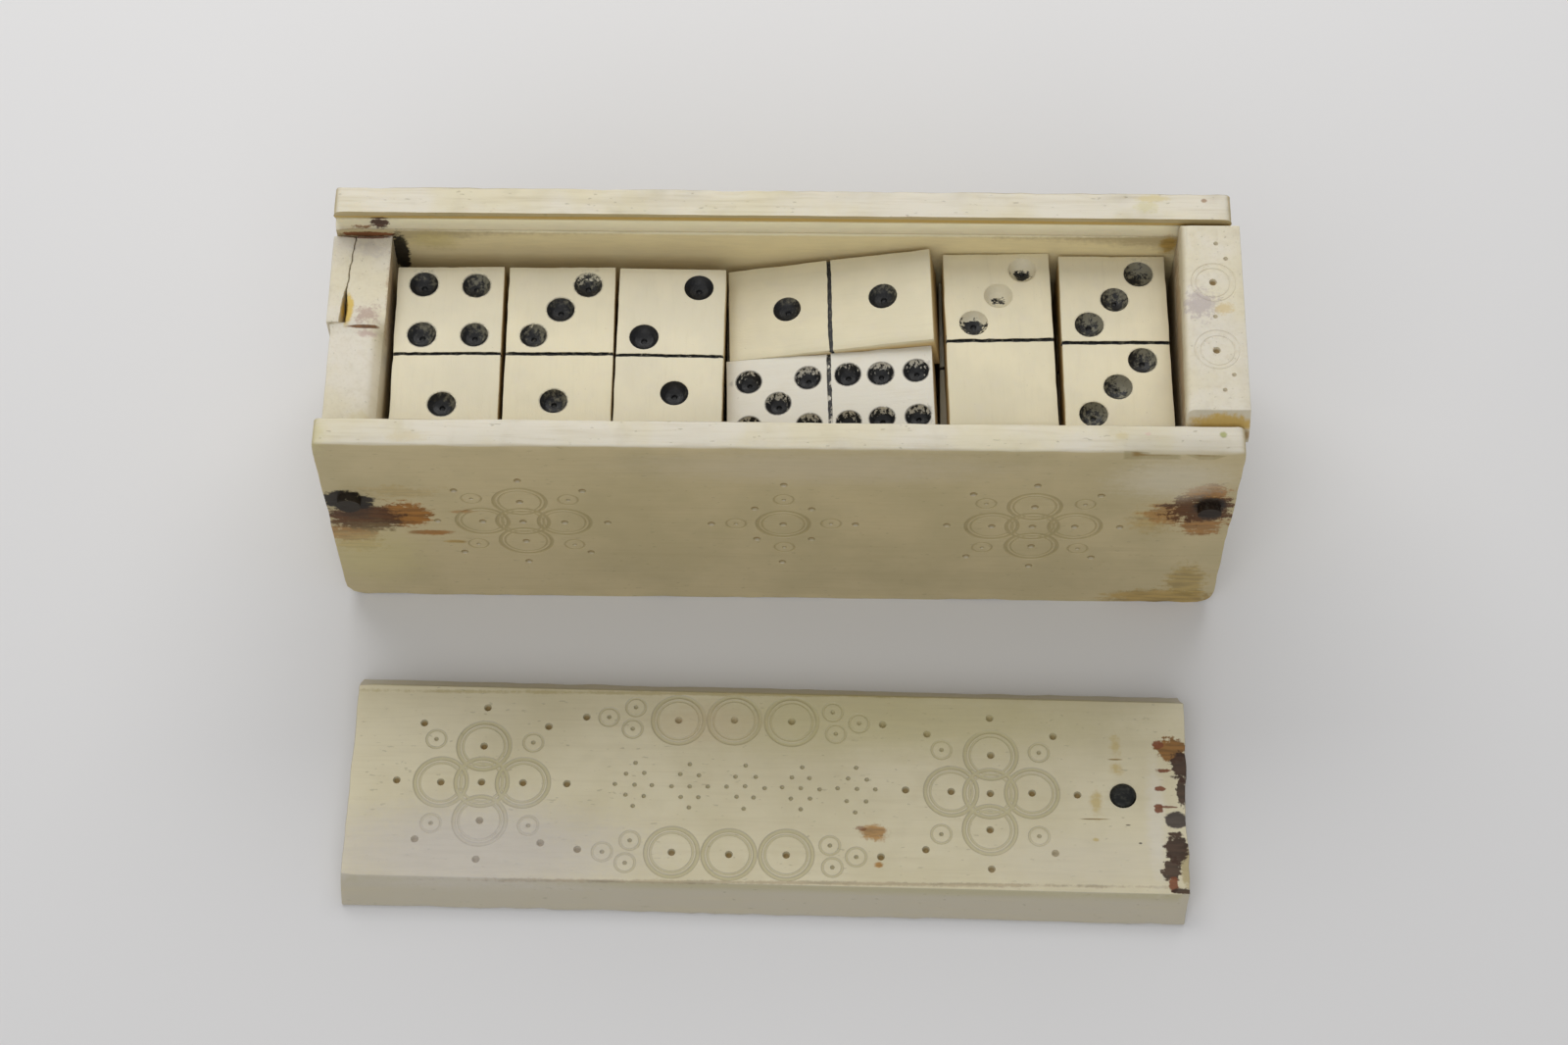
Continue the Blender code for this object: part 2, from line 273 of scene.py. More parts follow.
def apply(piece, kind, **settings):
    modifier = piece.modifiers.new(kind.title(), kind)
    for name, value in settings.items():
        setattr(modifier, name, value)
    use(piece)
    bpy.ops.object.modifier_apply(modifier=modifier.name)


def round_edges(piece, width, segments=3):
    apply(piece, "BEVEL", width=width, segments=segments, limit_method="ANGLE", angle_limit=0.6)


def carve(piece, cutter, crossing=False):
    """Cut one shape out of a piece; crossing is for a cutter whose shapes cross each other."""
    apply(piece, "BOOLEAN", object=cutter, operation="DIFFERENCE", solver="EXACT", use_self=crossing)
    bpy.data.objects.remove(cutter)


def join(pieces):
    deselect()
    for piece in pieces:
        piece.select_set(True)
    bpy.context.view_layer.objects.active = pieces[0]
    bpy.ops.object.join()
    return bpy.context.object


def copy_of(piece, matrix):
    made = piece.copy()
    made.data = piece.data.copy()
    bpy.context.scene.collection.objects.link(made)
    made.matrix_world = matrix
    return made


def move_vertices(piece, moved):
    """Move each vertex to where the function says."""
    for vertex in piece.data.vertices:
        vertex.co = moved(vertex.co.copy(), vertex.normal.copy())


def clamp(value):
    return min(1.0, max(0.0, value))


def nearness(gap, reach):
    """1 where there is no gap, falling to 0 where the gap is as long as the reach."""
    return max(0.0, 1 - gap / reach)


def wear(piece, seed, chip=0.35 * MM, ripple=0.04 * MM, reach=0.9 * MM):
    """Rub and chip a box-like piece along its edges, and make its faces slightly uneven."""
    low, high = corners(piece)
    middle = (low + high) / 2
    shift = Vector((seed * 7.3, seed * 3.1, seed * 5.7))

    def worn(place, normal):
        long_wave, wave, chips, crumbs = (
            noise.noise(place * cells + shift) for cells in (70, 110, 330, 900)
        )
        gaps = sorted(min(place[axis] - low[axis], high[axis] - place[axis]) for axis in range(3))
        near = nearness(gaps[1], reach)
        rough = chips * 0.6 + crumbs * 0.4
        loss = chip * near * max(0.0, rough + 0.25 + 0.4 * long_wave)
        inward = middle - place
        inward.x *= 0.1
        uneven = ripple * 0.5 * (wave - 1)
        return place + inward.normalized() * loss + normal * uneven

    move_vertices(piece, worn)


def store(piece, name, values):
    """Keep one number for each vertex as an attribute that materials can read."""
    attribute = piece.data.attributes.new(name, "FLOAT", "POINT")
    attribute.data.foreach_set("value", values)


def finish(piece, paint, body, node):
    use(piece)
    bpy.ops.object.shade_smooth_by_angle(angle=math.radians(35))
    piece.data.materials.clear()
    piece.data.materials.append(paint)
    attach(piece, body)
    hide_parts(node)


# ---- ring-and-dot engraving
class Engraver:
    """Collects ring and dot cutters on one flat face, then cuts them all.

    The face is given by its centre and its outward direction; its right is the object's.
    Places on it are in millimetres across and up from the centre.
    """

    def __init__(self, centre, outward, seed):
        up = outward.cross(RIGHT)
        self.matrix = Matrix.Translation(centre) @ Matrix((RIGHT, up, outward)).transposed().to_4x4()
        self.cutters = []
        self.random = random.Random(seed)

    def place(self, across, up):
        """A place on the face, a little off as a hand's would be."""
        across += self.random.uniform(-HAND_UNSTEADINESS, HAND_UNSTEADINESS)
        up += self.random.uniform(-HAND_UNSTEADINESS, HAND_UNSTEADINESS)
        return Vector((across * MM, up * MM, 0))

    def scribe(self, place, radius, half_width):
        """A shallow groove with round sides: the cutter's ring lies mostly above the face."""
        thickness = half_width * 1.15
        above = math.sqrt(thickness ** 2 - half_width ** 2)
        bpy.ops.mesh.primitive_torus_add(
            location=place + TOP * (above * MM),
            major_radius=radius * MM,
            minor_radius=thickness * MM,
            major_segments=max(20, round(radius * 14)),
            minor_segments=12,
        )
        self.cutters.append(bpy.context.object)

    def drill(self, place, radius):
        bpy.ops.mesh.primitive_uv_sphere_add(location=place, radius=radius * MM, segments=10, ring_count=6)
        self.cutters.append(bpy.context.object)

    def dot(self, across, up, radius=DOT_RADIUS):
        self.drill(self.place(across, up), radius)

    def small_ring(self, across, up):
        place = self.place(across, up)
        self.scribe(place, SMALL_RING, FINE_SCRIBE)
        self.drill(place, PRICK_RADIUS)

    def big_ring(self, across, up):
        place = self.place(across, up)
        self.scribe(place, BIG_RING, WIDE_SCRIBE)
        self.scribe(place, INNER_RING, FINE_SCRIBE)
        self.drill(place, DOT_RADIUS)

    def cross(self, across, up):
        """Five interlaced big rings, four small ones between them, and eight dots around."""
        for x, y in ((0, 0), *SIDES):
            self.big_ring(across + x * CROSS_STEP, up + y * CROSS_STEP)
        for x, y in CORNERS:
            self.small_ring(across + x * 5.5, up + y * 5.2)
            self.dot(across + x * 7.2, up + y * 7.2)
        for x, y in SIDES:
            self.dot(across + x * 9.7, up + y * 9.4)

    def rosette(self, across, up):
        """One big ring with four small ones about it, and dots."""
        self.big_ring(across, up)
        for x, y in SIDES:
            self.small_ring(across + x * 5.3, up + y * 5.6)
            self.dot(across + x * 8.1, up + y * 9.0)
        for x, y in CORNERS:
            self.dot(across + x * 3.1, up + y * 3.5)

    def chain(self, across, up):
        """Three big rings in a row, with three small ones and a dot at each end."""
        for x in (-1, 0, 1):
            self.big_ring(across + x * CHAIN_STEP, up)
        for side in (-1, 1):
            self.small_ring(across + side * 11.3, up + 1.35)
            self.small_ring(across + side * 11.6, up - 1.35)
            self.small_ring(across + side * 14.3, up)
            self.dot(across + side * 17.0, up)

    def lozenges(self, across, up, count):
        """A row of lozenges pricked in small dots."""
        for number in range(count):
            middle = across + (number - (count - 1) / 2) * LOZENGE_STEP
            for x, y in LOZENGE_DOTS:
                self.dot(middle + x * 2.1, up + y * 2.7, PRICK_RADIUS)

    def cut(self, piece):
        """Carve all the cutters into the piece, and keep how deep each vertex is cut."""
        cutter = join(self.cutters)
        settle(cutter)
        cutter.matrix_world = self.matrix
        settle(cutter)
        carve(piece, cutter, crossing=True)
        outward = self.matrix.col[2].to_3d()
        face = outward.dot(self.matrix.translation)
        shallowest, full_depth, deepest, edge = 0.03 * MM, 0.40 * MM, 0.6 * MM, 1.0 * MM
        flat_axes = [axis for axis in range(3) if abs(outward[axis]) < 0.5]
        low, high = corners(piece)
        depths = []
        for vertex in piece.data.vertices:
            place = vertex.co
            depth = face - outward.dot(place)
            gap = min(min(place[axis] - low[axis], high[axis] - place[axis]) for axis in flat_axes)
            cut_here = shallowest < depth < deepest and gap > edge
            depths.append(min(1.0, depth / full_depth) if cut_here else 0.0)
        store(piece, "cut_depth", depths)


# ---- shader expressions
class Wire:
    """A node's output that can be used in Python arithmetic: each operator adds a Math node."""

    def __init__(self, paint, socket):
        self.paint = paint
        self.socket = socket

    def maths(self, operation, first, second):
        return self.paint.node("ShaderNodeMath", {"operation": operation}, {0: first, 1: second})

    def __add__(self, other):
        return self.maths("ADD", self, other)

    def __radd__(self, other):
        return self.maths("ADD", other, self)

    def __sub__(self, other):
        return self.maths("SUBTRACT", self, other)

    def __rsub__(self, other):
        return self.maths("SUBTRACT", other, self)

    def __mul__(self, other):
        return self.maths("MULTIPLY", self, other)

    def __rmul__(self, other):
        return self.maths("MULTIPLY", other, self)


class Paint:
    """One material on a Principled shader, and the nodes that feed it."""

    def __init__(self, name):
        self.material = bpy.data.materials.new(name)
        self.material.use_nodes = True
        self.tree = self.material.node_tree
        self.shader = self.tree.nodes["Principled BSDF"]
        self.place = self.node("ShaderNodeTexCoord", {}, {}, "Object")

    def node(self, kind, settings, sockets, output=0):
        """Add a node, set it up, feed its sockets, and return one of its outputs."""
        made = self.tree.nodes.new(kind)
        for name, value in settings.items():
            setattr(made, name, value)
        for name, value in sockets.items():
            self.feed(made.inputs[name], value)
        return Wire(self, made.outputs[output])

    def feed(self, socket, value):
        if isinstance(value, Wire):
            self.tree.links.new(value.socket, socket)
        else:
            socket.default_value = value

    def set(self, **values):
        for name, value in values.items():
            self.feed(self.shader.inputs[name.replace("_", " ")], value)

    def make_waxy(self, gloss):
        """Bone lets a little light in under its polish."""
        self.set(Subsurface_Weight=0.12, Subsurface_Scale=0.001, Subsurface_Radius=(1.0, 0.8, 0.5))
        self.set(Specular_IOR_Level=gloss)

    def attribute(self, name):
        return self.node("ShaderNodeAttribute", {"attribute_name": name}, {}, "Fac")

    def upward(self):
        """How far the surface faces up: 1 on a level top and 0 on a wall."""
        normal = self.node("ShaderNodeNewGeometry", {}, {}, "Normal")
        return self.node("ShaderNodeSeparateXYZ", {}, {0: normal}, "Z")

    def step(self, value, low, high):
        """0 below low and 1 above high, with a smooth rise between them; low may be the higher."""
        settings = {"interpolation_type": "SMOOTHSTEP"}
        return self.node("ShaderNodeMapRange", settings, {"Value": value, "From Min": low, "From Max": high})

    def positive(self, value):
        return self.node("ShaderNodeMath", {"operation": "MAXIMUM"}, {0: value, 1: 0.0})

    def vector(self, operation, first, second=(0, 0, 0), output=0):
        return self.node("ShaderNodeVectorMath", {"operation": operation}, {0: first, 1: second}, output)

    def noise(self, scale, detail=3.0, stretch=(1, 1, 1), vector=None, roughness=0.55):
        """Noise between 0 and 1 on the piece's own place, with cells of 1 / scale metres."""
        where = vector or self.place
        stretched = self.node("ShaderNodeMapping", {}, {"Vector": where, "Scale": stretch})
        sockets = {"Vector": stretched, "Scale": scale, "Detail": detail, "Roughness": roughness}
        return self.node("ShaderNodeTexNoise", {}, sockets)

    def mix(self, share, first, second):
        """From the first colour to the second, by a share between 0 and 1."""
        settings = {"data_type": "RGBA"}
        first, second = (c if isinstance(c, Wire) else (*c, 1) for c in (first, second))
        return self.node("ShaderNodeMix", settings, {"Factor": share, 6: first, 7: second}, 2)

    def near(self, centre, radii, ragged, soft, streaks):
        """1 at a place and 0 outside an ellipsoid around it.

        The border is ragged, spreads over the share soft of the radius, and is pulled out
        along the streaks' direction.
        """
        offset = self.vector("SUBTRACT", self.place, centre)
        distance = self.vector("LENGTH", self.vector("DIVIDE", offset, radii), output="Value")
        return self.step(distance + streaks * (ragged * 3.6), 1.0, 1.0 - soft)

    def bump(self, height, distance, strength=1.0):
        sockets = {"Height": height, "Distance": distance, "Strength": strength}
        return self.node("ShaderNodeBump", {}, sockets)


IRON_BLACK = (0.018, 0.012, 0.008)
RUST_BROWN = (0.110, 0.038, 0.007)
RUST_ORANGE = (0.370, 0.150, 0.020)
RUST_TAN = (0.500, 0.340, 0.110)
GROOVE_BROWN = (0.29, 0.185, 0.055)
CRUST_BROWN = (0.070, 0.036, 0.022)
CRUST_RED = (0.240, 0.080, 0.034)
MARK_YELLOW = (0.56, 0.42, 0.14)


def scaled(colour, *shares):
    """A colour with its channels multiplied, by one number or by one for each."""
    shares = shares * 3 if len(shares) == 1 else shares
    return [channel * share for channel, share in zip(colour, shares)]


def bone(name, colour, deep, stains_and_painted_light=(), grain_axis=0, pale_top=None, dirt=None, slopes=None):
    """Aged bone: mottled colour, fine grain along one axis, pores, soft gloss and stains.

    Each stain, and each patch of painted light and shade, is (centre in mm, radii in mm, colour,
    strength, raggedness, softness).  The top may be paler, the slopes darker, and engraved
    grooves may hold dirt.
    """
    paint = Paint(name)

    def along_grain(share):
        return [share if axis == grain_axis else 1.0 for axis in range(3)]

    grain = paint.noise(2600, 3.0, along_grain(0.06))
    broad_grain = paint.noise(700, 2.0, along_grain(0.06))
    mottle = paint.noise(90, 4.0)
    blotch = paint.noise(260, 3.0)
    pores = paint.step(paint.noise(2900, 1.0, along_grain(0.35)), 0.70, 0.78)
    shade = paint.mix(paint.step(mottle, 0.35, 0.65), colour, deep)
    if pale_top:
        bleached = paint.step(paint.upward() + (mottle - 0.5) * 0.3, 0.55, 0.95)
        yellowed = scaled(pale_top, 0.97, 0.95, 0.84)
        shade = paint.mix(bleached, shade, paint.mix(paint.step(mottle, 0.42, 0.62), pale_top, yellowed))
    if slopes:
        sloping = paint.step(paint.upward() + (mottle - 0.5) * 0.1, 0.93, 0.78)
        shade = paint.mix(sloping * 0.9, shade, slopes)
    streaks = paint.step(broad_grain, 0.50, 0.75) * 0.22 + paint.step(grain, 0.45, 0.8) * 0.22
    shade = paint.mix(streaks, shade, scaled(deep, 0.86, 0.84, 0.82))
    shade = paint.mix(paint.step(blotch, 0.52, 0.75) * 0.16, shade, scaled(deep, 0.8))
    shade = paint.mix(pores * 0.35, shade, scaled(deep, 0.45))
    if dirt:
        depth = paint.attribute("cut_depth")
        bottom = paint.step(depth, 0.50, 0.95) * (0.60 + blotch * 0.5)
        shade = paint.mix(paint.step(depth, 0.05, 0.28) * 0.46, shade, dirt)
        shade = paint.mix(bottom, shade, GROOVE_BROWN)

    streaky = along_grain(0.14)
    frayed = paint.noise(1300, 5.0, streaky, roughness=0.65) - 0.5
    frayed = frayed + (paint.noise(1500, 4.0, roughness=0.7) - 0.5) * 1.2
    patchy = paint.step(paint.noise(1900, 3.0, streaky, roughness=0.6), 0.38, 0.66)
    # Some pieces' lists also hold patches of painted light and shade, painted on like the stains
    for centre, radii, stain_and_light_colour, strength, ragged, soft in stains_and_painted_light:
        mask = paint.near(Vector(centre) * MM, Vector(radii) * MM, ragged, soft, frayed)
        patches = patchy * (0.75 if sum(stain_and_light_colour) < 1.0 else 0.10)
        stain_and_light = paint.mix(patches, stain_and_light_colour, scaled(stain_and_light_colour, 0.5))
        shade = paint.mix(mask * strength, shade, stain_and_light)
    height = grain * 0.5 + broad_grain * 0.5 - pores * 0.8
    paint.set(Base_Color=shade, Roughness=0.40 + grain * 0.18)
    paint.set(Normal=paint.bump(height, 0.00004, 0.6))
    paint.make_waxy(0.24)
    return paint.material


def table_paint():
    paint = Paint("table_top")
    drift = paint.noise(6, 2.0)
    paint.set(Base_Color=paint.mix(drift, (0.745, 0.74, 0.735), (0.77, 0.765, 0.76)), Roughness=0.85)
    return paint.material


# What each vertex of a tile carries: its own flat place and depth in millimetres, a number
# that sets the tile's pattern apart and how white its bone is; then, in a pip or the line,
# how much ink is left, how thin and how smudged it is, and the place in the pip's radii
TILE_FIELDS = (
    "tile_along", "tile_across", "tile_depth", "apart", "whiteness",
    "ink_left", "ink_thin", "smudge", "pip_x", "pip_y",
)


def inked_bone():
    """Tile bone with ink in the pips and the dividing line."""
    paint = Paint("inked_tile_bone")
    fields = [paint.attribute(name) for name in TILE_FIELDS]
    along, across, depth, apart, whiteness, ink_left, thinness, smudge, pip_x, pip_y = fields
    own = paint.node("ShaderNodeCombineXYZ", {}, {"X": along, "Y": across, "Z": depth + apart})
    grain = paint.noise(2.6, 3.0, (0.10, 1, 1), own)
    fine = paint.noise(7.0, 2.0, (0.35, 1, 1), own)
    mottle = paint.noise(0.14, 3.0, (1, 1, 1), own)
    cloud = paint.noise(0.45, 3.0, (1, 1, 1), own)
    cream = paint.mix(paint.step(mottle, 0.35, 0.65), (0.78, 0.705, 0.49), (0.72, 0.655, 0.46))
    shade = paint.mix(whiteness, cream, (0.74, 0.71, 0.62))
    shade = paint.mix(paint.step(cloud, 0.5, 0.75) * 0.30, shade, (0.70, 0.635, 0.50))
    shade = paint.mix(paint.step(grain, 0.50, 0.8) * 0.16, shade, (0.60, 0.54, 0.38))
    specks = paint.step(paint.noise(3.0, 2.0, (1, 1, 1), own), 0.72, 0.79)
    shade = paint.mix(specks * 0.32, shade, (0.30, 0.25, 0.15))
    drilled = paint.step(ink_left, 0.01, 0.02)
    # Painted shade and glow: the tiles' sides below the top are painted amber, standing in for their shade
    # and the light that glows through the bone
    sides = paint.step(depth, 0.12, 0.9) * (1 - drilled)
    shade = paint.mix(sides * 0.75, shade, (0.56, 0.38, 0.13))

    # Ink holds in the deep of a pip; where little is left, the rim's back side is rubbed bare
    blot = (paint.noise(2.3, 5.0, (1, 0.45, 1), own, 0.68) - 0.5) * 2.2
    film = (paint.noise(1.7, 5.0, (1, 1, 1), own, 0.75) - 0.5) * 3.4
    rubbed = paint.positive(pip_y) * paint.positive(1.05 - ink_left) * 1.1
    present = ink_left - 0.42 + blot * 0.95 + paint.step(depth, 0.72, 0.98) * 0.42 - rubbed
    cut = paint.step(depth, 0.035, 0.09) * drilled
    ink = cut * paint.step(present, -0.03, 0.07)
    slanting = (pip_x + pip_y) * thinness * 0.55
    uneven_film = thinness * (film * 2.2 + 1)
    light_film = uneven_film + slanting - paint.step(depth, 0.6, 1.1) * 0.25
    film_share = paint.step(light_film, 0.28, 0.95)
    ink_colour = paint.mix(film_share, (0.014, 0.014, 0.014), (0.215, 0.200, 0.140))
    # Painted shade: bare bone inside a drilled pip is painted darker and greyer
    shade = paint.mix(cut * 0.25, shade, (0.60, 0.56, 0.45))
    dish = paint.step(depth, 0.004, 0.016) * smudge * (1 - cut * 0.8)
    smear = dish * paint.step(blot * 0.5 + film * 0.5 + smudge * 0.3, -0.02, 0.28)
    shade = paint.mix(smear * 0.72, shade, (0.16, 0.15, 0.13))
    shade = paint.mix(ink, shade, ink_colour)
    roughness = 0.38 + grain * 0.16 - ink * 0.06 + film_share * ink * 0.2
    height = grain * 0.5 + fine * 0.4 + cut * (blot * 0.8 + film * 0.6)
    paint.set(Base_Color=shade, Roughness=roughness, Normal=paint.bump(height, 0.00005, 0.6))
    paint.make_waxy(0.4)
    return paint.material


def rusty_iron():
    paint = Paint("rusty_iron")
    crust = paint.noise(1800, 5.0)
    shade = paint.mix(paint.step(crust, 0.4, 0.65), (0.014, 0.012, 0.011), (0.085, 0.032, 0.012))
    paint.set(Base_Color=shade, Roughness=0.80, Metallic=0.2, Normal=paint.bump(crust, 0.0001, 0.8))
    return paint.material


def black_peg_paint():
    paint = Paint("black_peg")
    scratches = paint.noise(2500, 4.0)
    shade = paint.mix(paint.step(scratches, 0.45, 0.75), (0.006, 0.007, 0.006), (0.035, 0.036, 0.028))
    paint.set(Base_Color=shade, Roughness=0.48, Normal=paint.bump(scratches, 0.00010, 0.8))
    paint.set(Specular_IOR_Level=0.3)
    return paint.material


# ---- the box
def cut_channel(wall):
    """The dovetail channel for the lid, between both walls' lips."""
    low, high = corners(wall)
    start, end = low.x - 2 * MM, high.x + 2 * MM
    foot = (start, -LIP_HALF_OPENING, LEDGE_HEIGHT)
    carve(wall, add_box("slot", foot, (end, LIP_HALF_OPENING, high.z + MM)))
    foot = (start, -CHANNEL_HALF_WIDTH, LEDGE_HEIGHT)
    undercut = add_box("undercut", foot, (end, CHANNEL_HALF_WIDTH, LIP_EDGE_HEIGHT + 0.1 * MM))
    select_facing(undercut, TOP)
    bpy.ops.transform.resize(value=(1, LIP_HALF_OPENING / CHANNEL_HALF_WIDTH, 1))
    object_mode()
    carve(wall, undercut)


def nail_nodes(side):
    return sorted(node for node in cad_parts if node.startswith(side) and node.endswith("_nail"))


def nail_holes(piece, nodes, outward):
    """A round hole for each nail head, a little wider than the head."""
    deep = 0.8 * MM
    turn = outward.to_track_quat("Z", "Y").to_euler()
    for node in nodes:
        low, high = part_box(node)
        radius = (high.x - low.x) / 2 + 0.25 * MM
        length = (high - low).dot(Vector([abs(part) for part in outward]))
        head = (low + high) / 2 + outward * (length / 2 - deep / 2 + 0.5 * MM)
        carve(piece, add_cylinder("nail_hole", radius, deep + MM, head, 20, turn))


def make_wall_blank(name, node):
    """A board with rounded lower corners and softened upper ones, before its channel is cut."""
    low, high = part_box(node)
    wall = add_box(name, low, high)
    middle = (low + high) / 2
    for side in (-1, 1):
        for level, width, segments in ((-1, 2.4 * MM, 6), (1, 0.8 * MM, 4)):

            def at_corner(place):
                offset = place - middle
                return offset.x * side > 0 and offset.z * level > (high.z - low.z) / 2 - MM

            bevel_edges(wall, at_corner, width, segments)
    return wall


def make_front_wall(paint):
    low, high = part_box("front_wall")
    wall = make_wall_blank("front_wall_worn", "front_wall")
    bevel_edges(wall, lambda place: place.z > high.z - 0.9 * MM and place.y < low.y + MM, 0.45 * MM, 4)
    slice_up(wall, (1.7 * MM, 2.0 * MM, 1.7 * MM))
    cut_channel(wall)
    round_edges(wall, 0.28 * MM)
    wear(wall, 1, chip=0.4 * MM, ripple=0.03 * MM)

    def rubbed(place, normal):
        """The rim's outer edge is rubbed to a broad slope towards the right end."""
        share = clamp((place.x - 37.0 * MM) / (1.5 * MM))
        rise = place.z - (high.z - 1.3 * MM)
        out = (low.y + 1.5 * MM) - place.y
        over = rise + out * 0.9 - 1.25 * MM
        if share > 0 and rise > 0 and out > 0 and over > 0:
            uneven = 1 + 0.5 * noise.noise(place * 300)
            place.z -= over * 0.55 * share * uneven
            place.y += over * 0.30 * share * uneven
        return place

    move_vertices(wall, rubbed)
    nail_holes(wall, ("front_left_nail", "front_right_nail"), FRONT)
    engraver = Engraver(Vector((0, low.y, (low.z + high.z) / 2)), FRONT, 11)
    engraver.cross(-29.0, 0.5)
    engraver.rosette(0.5, 0.6)
    engraver.cross(28.8, 0.6)
    engraver.cut(wall)
    finish(wall, paint, "box", "front_wall")


def make_back_wall(paint):
    wall = make_wall_blank("back_wall_worn", "back_wall")
    slice_up(wall, (1.7 * MM, 2.0 * MM, 1.7 * MM))
    cut_channel(wall)
    round_edges(wall, 0.28 * MM)
    wear(wall, 2, chip=0.4 * MM)
    nail_holes(wall, ("back_left_nail", "back_right_nail"), -FRONT)
    finish(wall, paint, "box", "back_wall")


def make_floor_board(paint):
    low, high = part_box("floor_board")
    board = add_box("floor_board_worn", low, high)
    slice_up(board, (2.5 * MM, 2.5 * MM, 2.2 * MM))
    round_edges(board, 0.25 * MM)
    wear(board, 3, chip=0.2 * MM)
    nail_holes(board, nail_nodes("floor"), -TOP)
    finish(board, paint, "box", "floor_board")


def crack_line(place):
    """How far the crack in the left block wanders sideways at this place."""
    slant = (place.y - 7 * MM) * 0.085
    wander = noise.noise(Vector((0, place.y * 420, place.z * 90))) * 0.22 * MM
    return slant + wander + noise.noise(Vector((4, place.y * 1500, place.z * 300))) * 0.10 * MM


def crack_opening(place, top):
    """The crack is a hair wide at the back, and a shallow open wedge at the front."""
    shallow = nearness(top - place.z, 1.5 * MM)
    front_share = clamp((6.0 * MM - place.y) / (2.5 * MM))
    return 0.04 * MM + front_share * shallow * 0.50 * MM


def make_left_block(paint):
    """The low end block, with the notch that its splinter left, and a worn inner corner."""
    low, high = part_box("left_end_block")
    splinter_low, splinter_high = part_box("left_block_splinter")
    block = add_box("left_end_block_worn", low, high)
    slice_up(block, (0.8 * MM, 0.8 * MM, 1.6 * MM))
    gap = 0.05 * MM
    notch_low = (low.x - 1 * MM, splinter_low.y - gap, splinter_low.z - gap)
    notch_high = (splinter_high.x + gap, high.y + 1 * MM, high.z + 1 * MM)
    notch = add_box("notch", notch_low, notch_high)
    slice_up(notch, (3.0 * MM, 0.4 * MM, 0.5 * MM))

    def ragged(place, normal):
        if place.x > low.x:
            place.x += crack_line(place) + crack_opening(place, high.z)
        return place

    move_vertices(notch, ragged)
    carve(block, notch)
    round_edges(block, 0.22 * MM, 2)
    wear(block, 4, chip=0.35 * MM)
    step_y = splinter_low.y - gap

    def dropped(place, normal):
        """The front part has sunk a little, and its inner top corner is rubbed round."""
        sunk = clamp((step_y - place.y) / (0.25 * MM))
        near_top = nearness(high.z - place.z, 3.0 * MM)
        near_inside = nearness(high.x - place.x, 1.8 * MM)
        place.z -= sunk * near_top * (0.35 * MM + near_inside ** 2 * 1.3 * MM)
        place.x -= sunk * near_top * near_inside * 0.35 * MM
        place.x += sunk * nearness(place.x - low.x, MM) * 0.25 * MM
        return place

    move_vertices(block, dropped)
    finish(block, paint, "box", "left_end_block")


def make_splinter(paint):
    low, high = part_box("left_block_splinter")
    piece = add_box("left_block_splinter_worn", low, high)
    slice_up(piece, (0.6 * MM, 0.4 * MM, 0.5 * MM))
    round_edges(piece, 0.15 * MM, 2)

    def ragged(place, normal):
        towards_crack = (place.x - low.x) / (high.x - low.x)
        place.x += crack_line(place) * towards_crack
        front_share = clamp((6.0 * MM - place.y) / (3.0 * MM))
        shallow = nearness(high.z - place.z, 1.5 * MM)
        place.x -= towards_crack * (0.04 + front_share * shallow * 0.22) * MM
        return place

    move_vertices(piece, ragged)
    wear(piece, 5, chip=0.2 * MM)
    finish(piece, paint, "box", "left_block_splinter")


def make_right_block(paint):
    """The high end block, whose head has the lid's section and carries two ring-and-dots."""
    low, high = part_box("right_end_block")
    foot_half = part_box("left_end_block")[1].y
    shoulder = LEDGE_HEIGHT + 0.1 * MM
    block = add_box("right_end_block_worn", (low.x, -foot_half, low.z), (high.x, foot_half, shoulder))
    select_facing(block, TOP)
    level, half = shoulder, foot_half
    head = (
        (shoulder + 0.1 * MM, HEAD_FOOT_HALF_WIDTH),
        (shoulder + 1.8 * MM, HEAD_WAIST_HALF_WIDTH),
        (high.z, HEAD_TOP_HALF_WIDTH),
    )
    for next_level, next_half in head:
        draw_out(next_level - level, across=next_half / half)
        level, half = next_level, next_half
    object_mode()
    bevel_edges(block, lambda place: place.z > high.z - MM and place.x < low.x + MM, 0.8 * MM, 5)
    slice_up(block, (1.1 * MM, 1.1 * MM, 1.6 * MM))
    round_edges(block, 0.22 * MM)
    wear(block, 6, chip=0.3 * MM)

    def skewed(place, normal):
        """The head's inner face stands a hair skew, further in at the front."""
        share = nearness(place.x - low.x, 2 * MM) * max(0.0, (place.z - 30 * MM) / (6 * MM))
        place.x -= share * (0.25 * MM - place.y * 0.025)
        return place

    move_vertices(block, skewed)
    engraver = Engraver(Vector((48.3 * MM, 0, high.z)), TOP, 12)
    for side in (-1, 1):
        for radius in (2.5, 1.9):
            engraver.scribe(engraver.place(0, side * 4.4), radius, FINE_SCRIBE * 0.7)
        engraver.dot(0, side * 4.4)
        engraver.dot(0.6, side * 9.6, PRICK_RADIUS)
        engraver.dot(1.6, side * 7.6, PRICK_RADIUS)
    engraver.dot(0, 0, PRICK_RADIUS)
    engraver.cut(block)
    finish(block, paint, "box", "right_end_block")


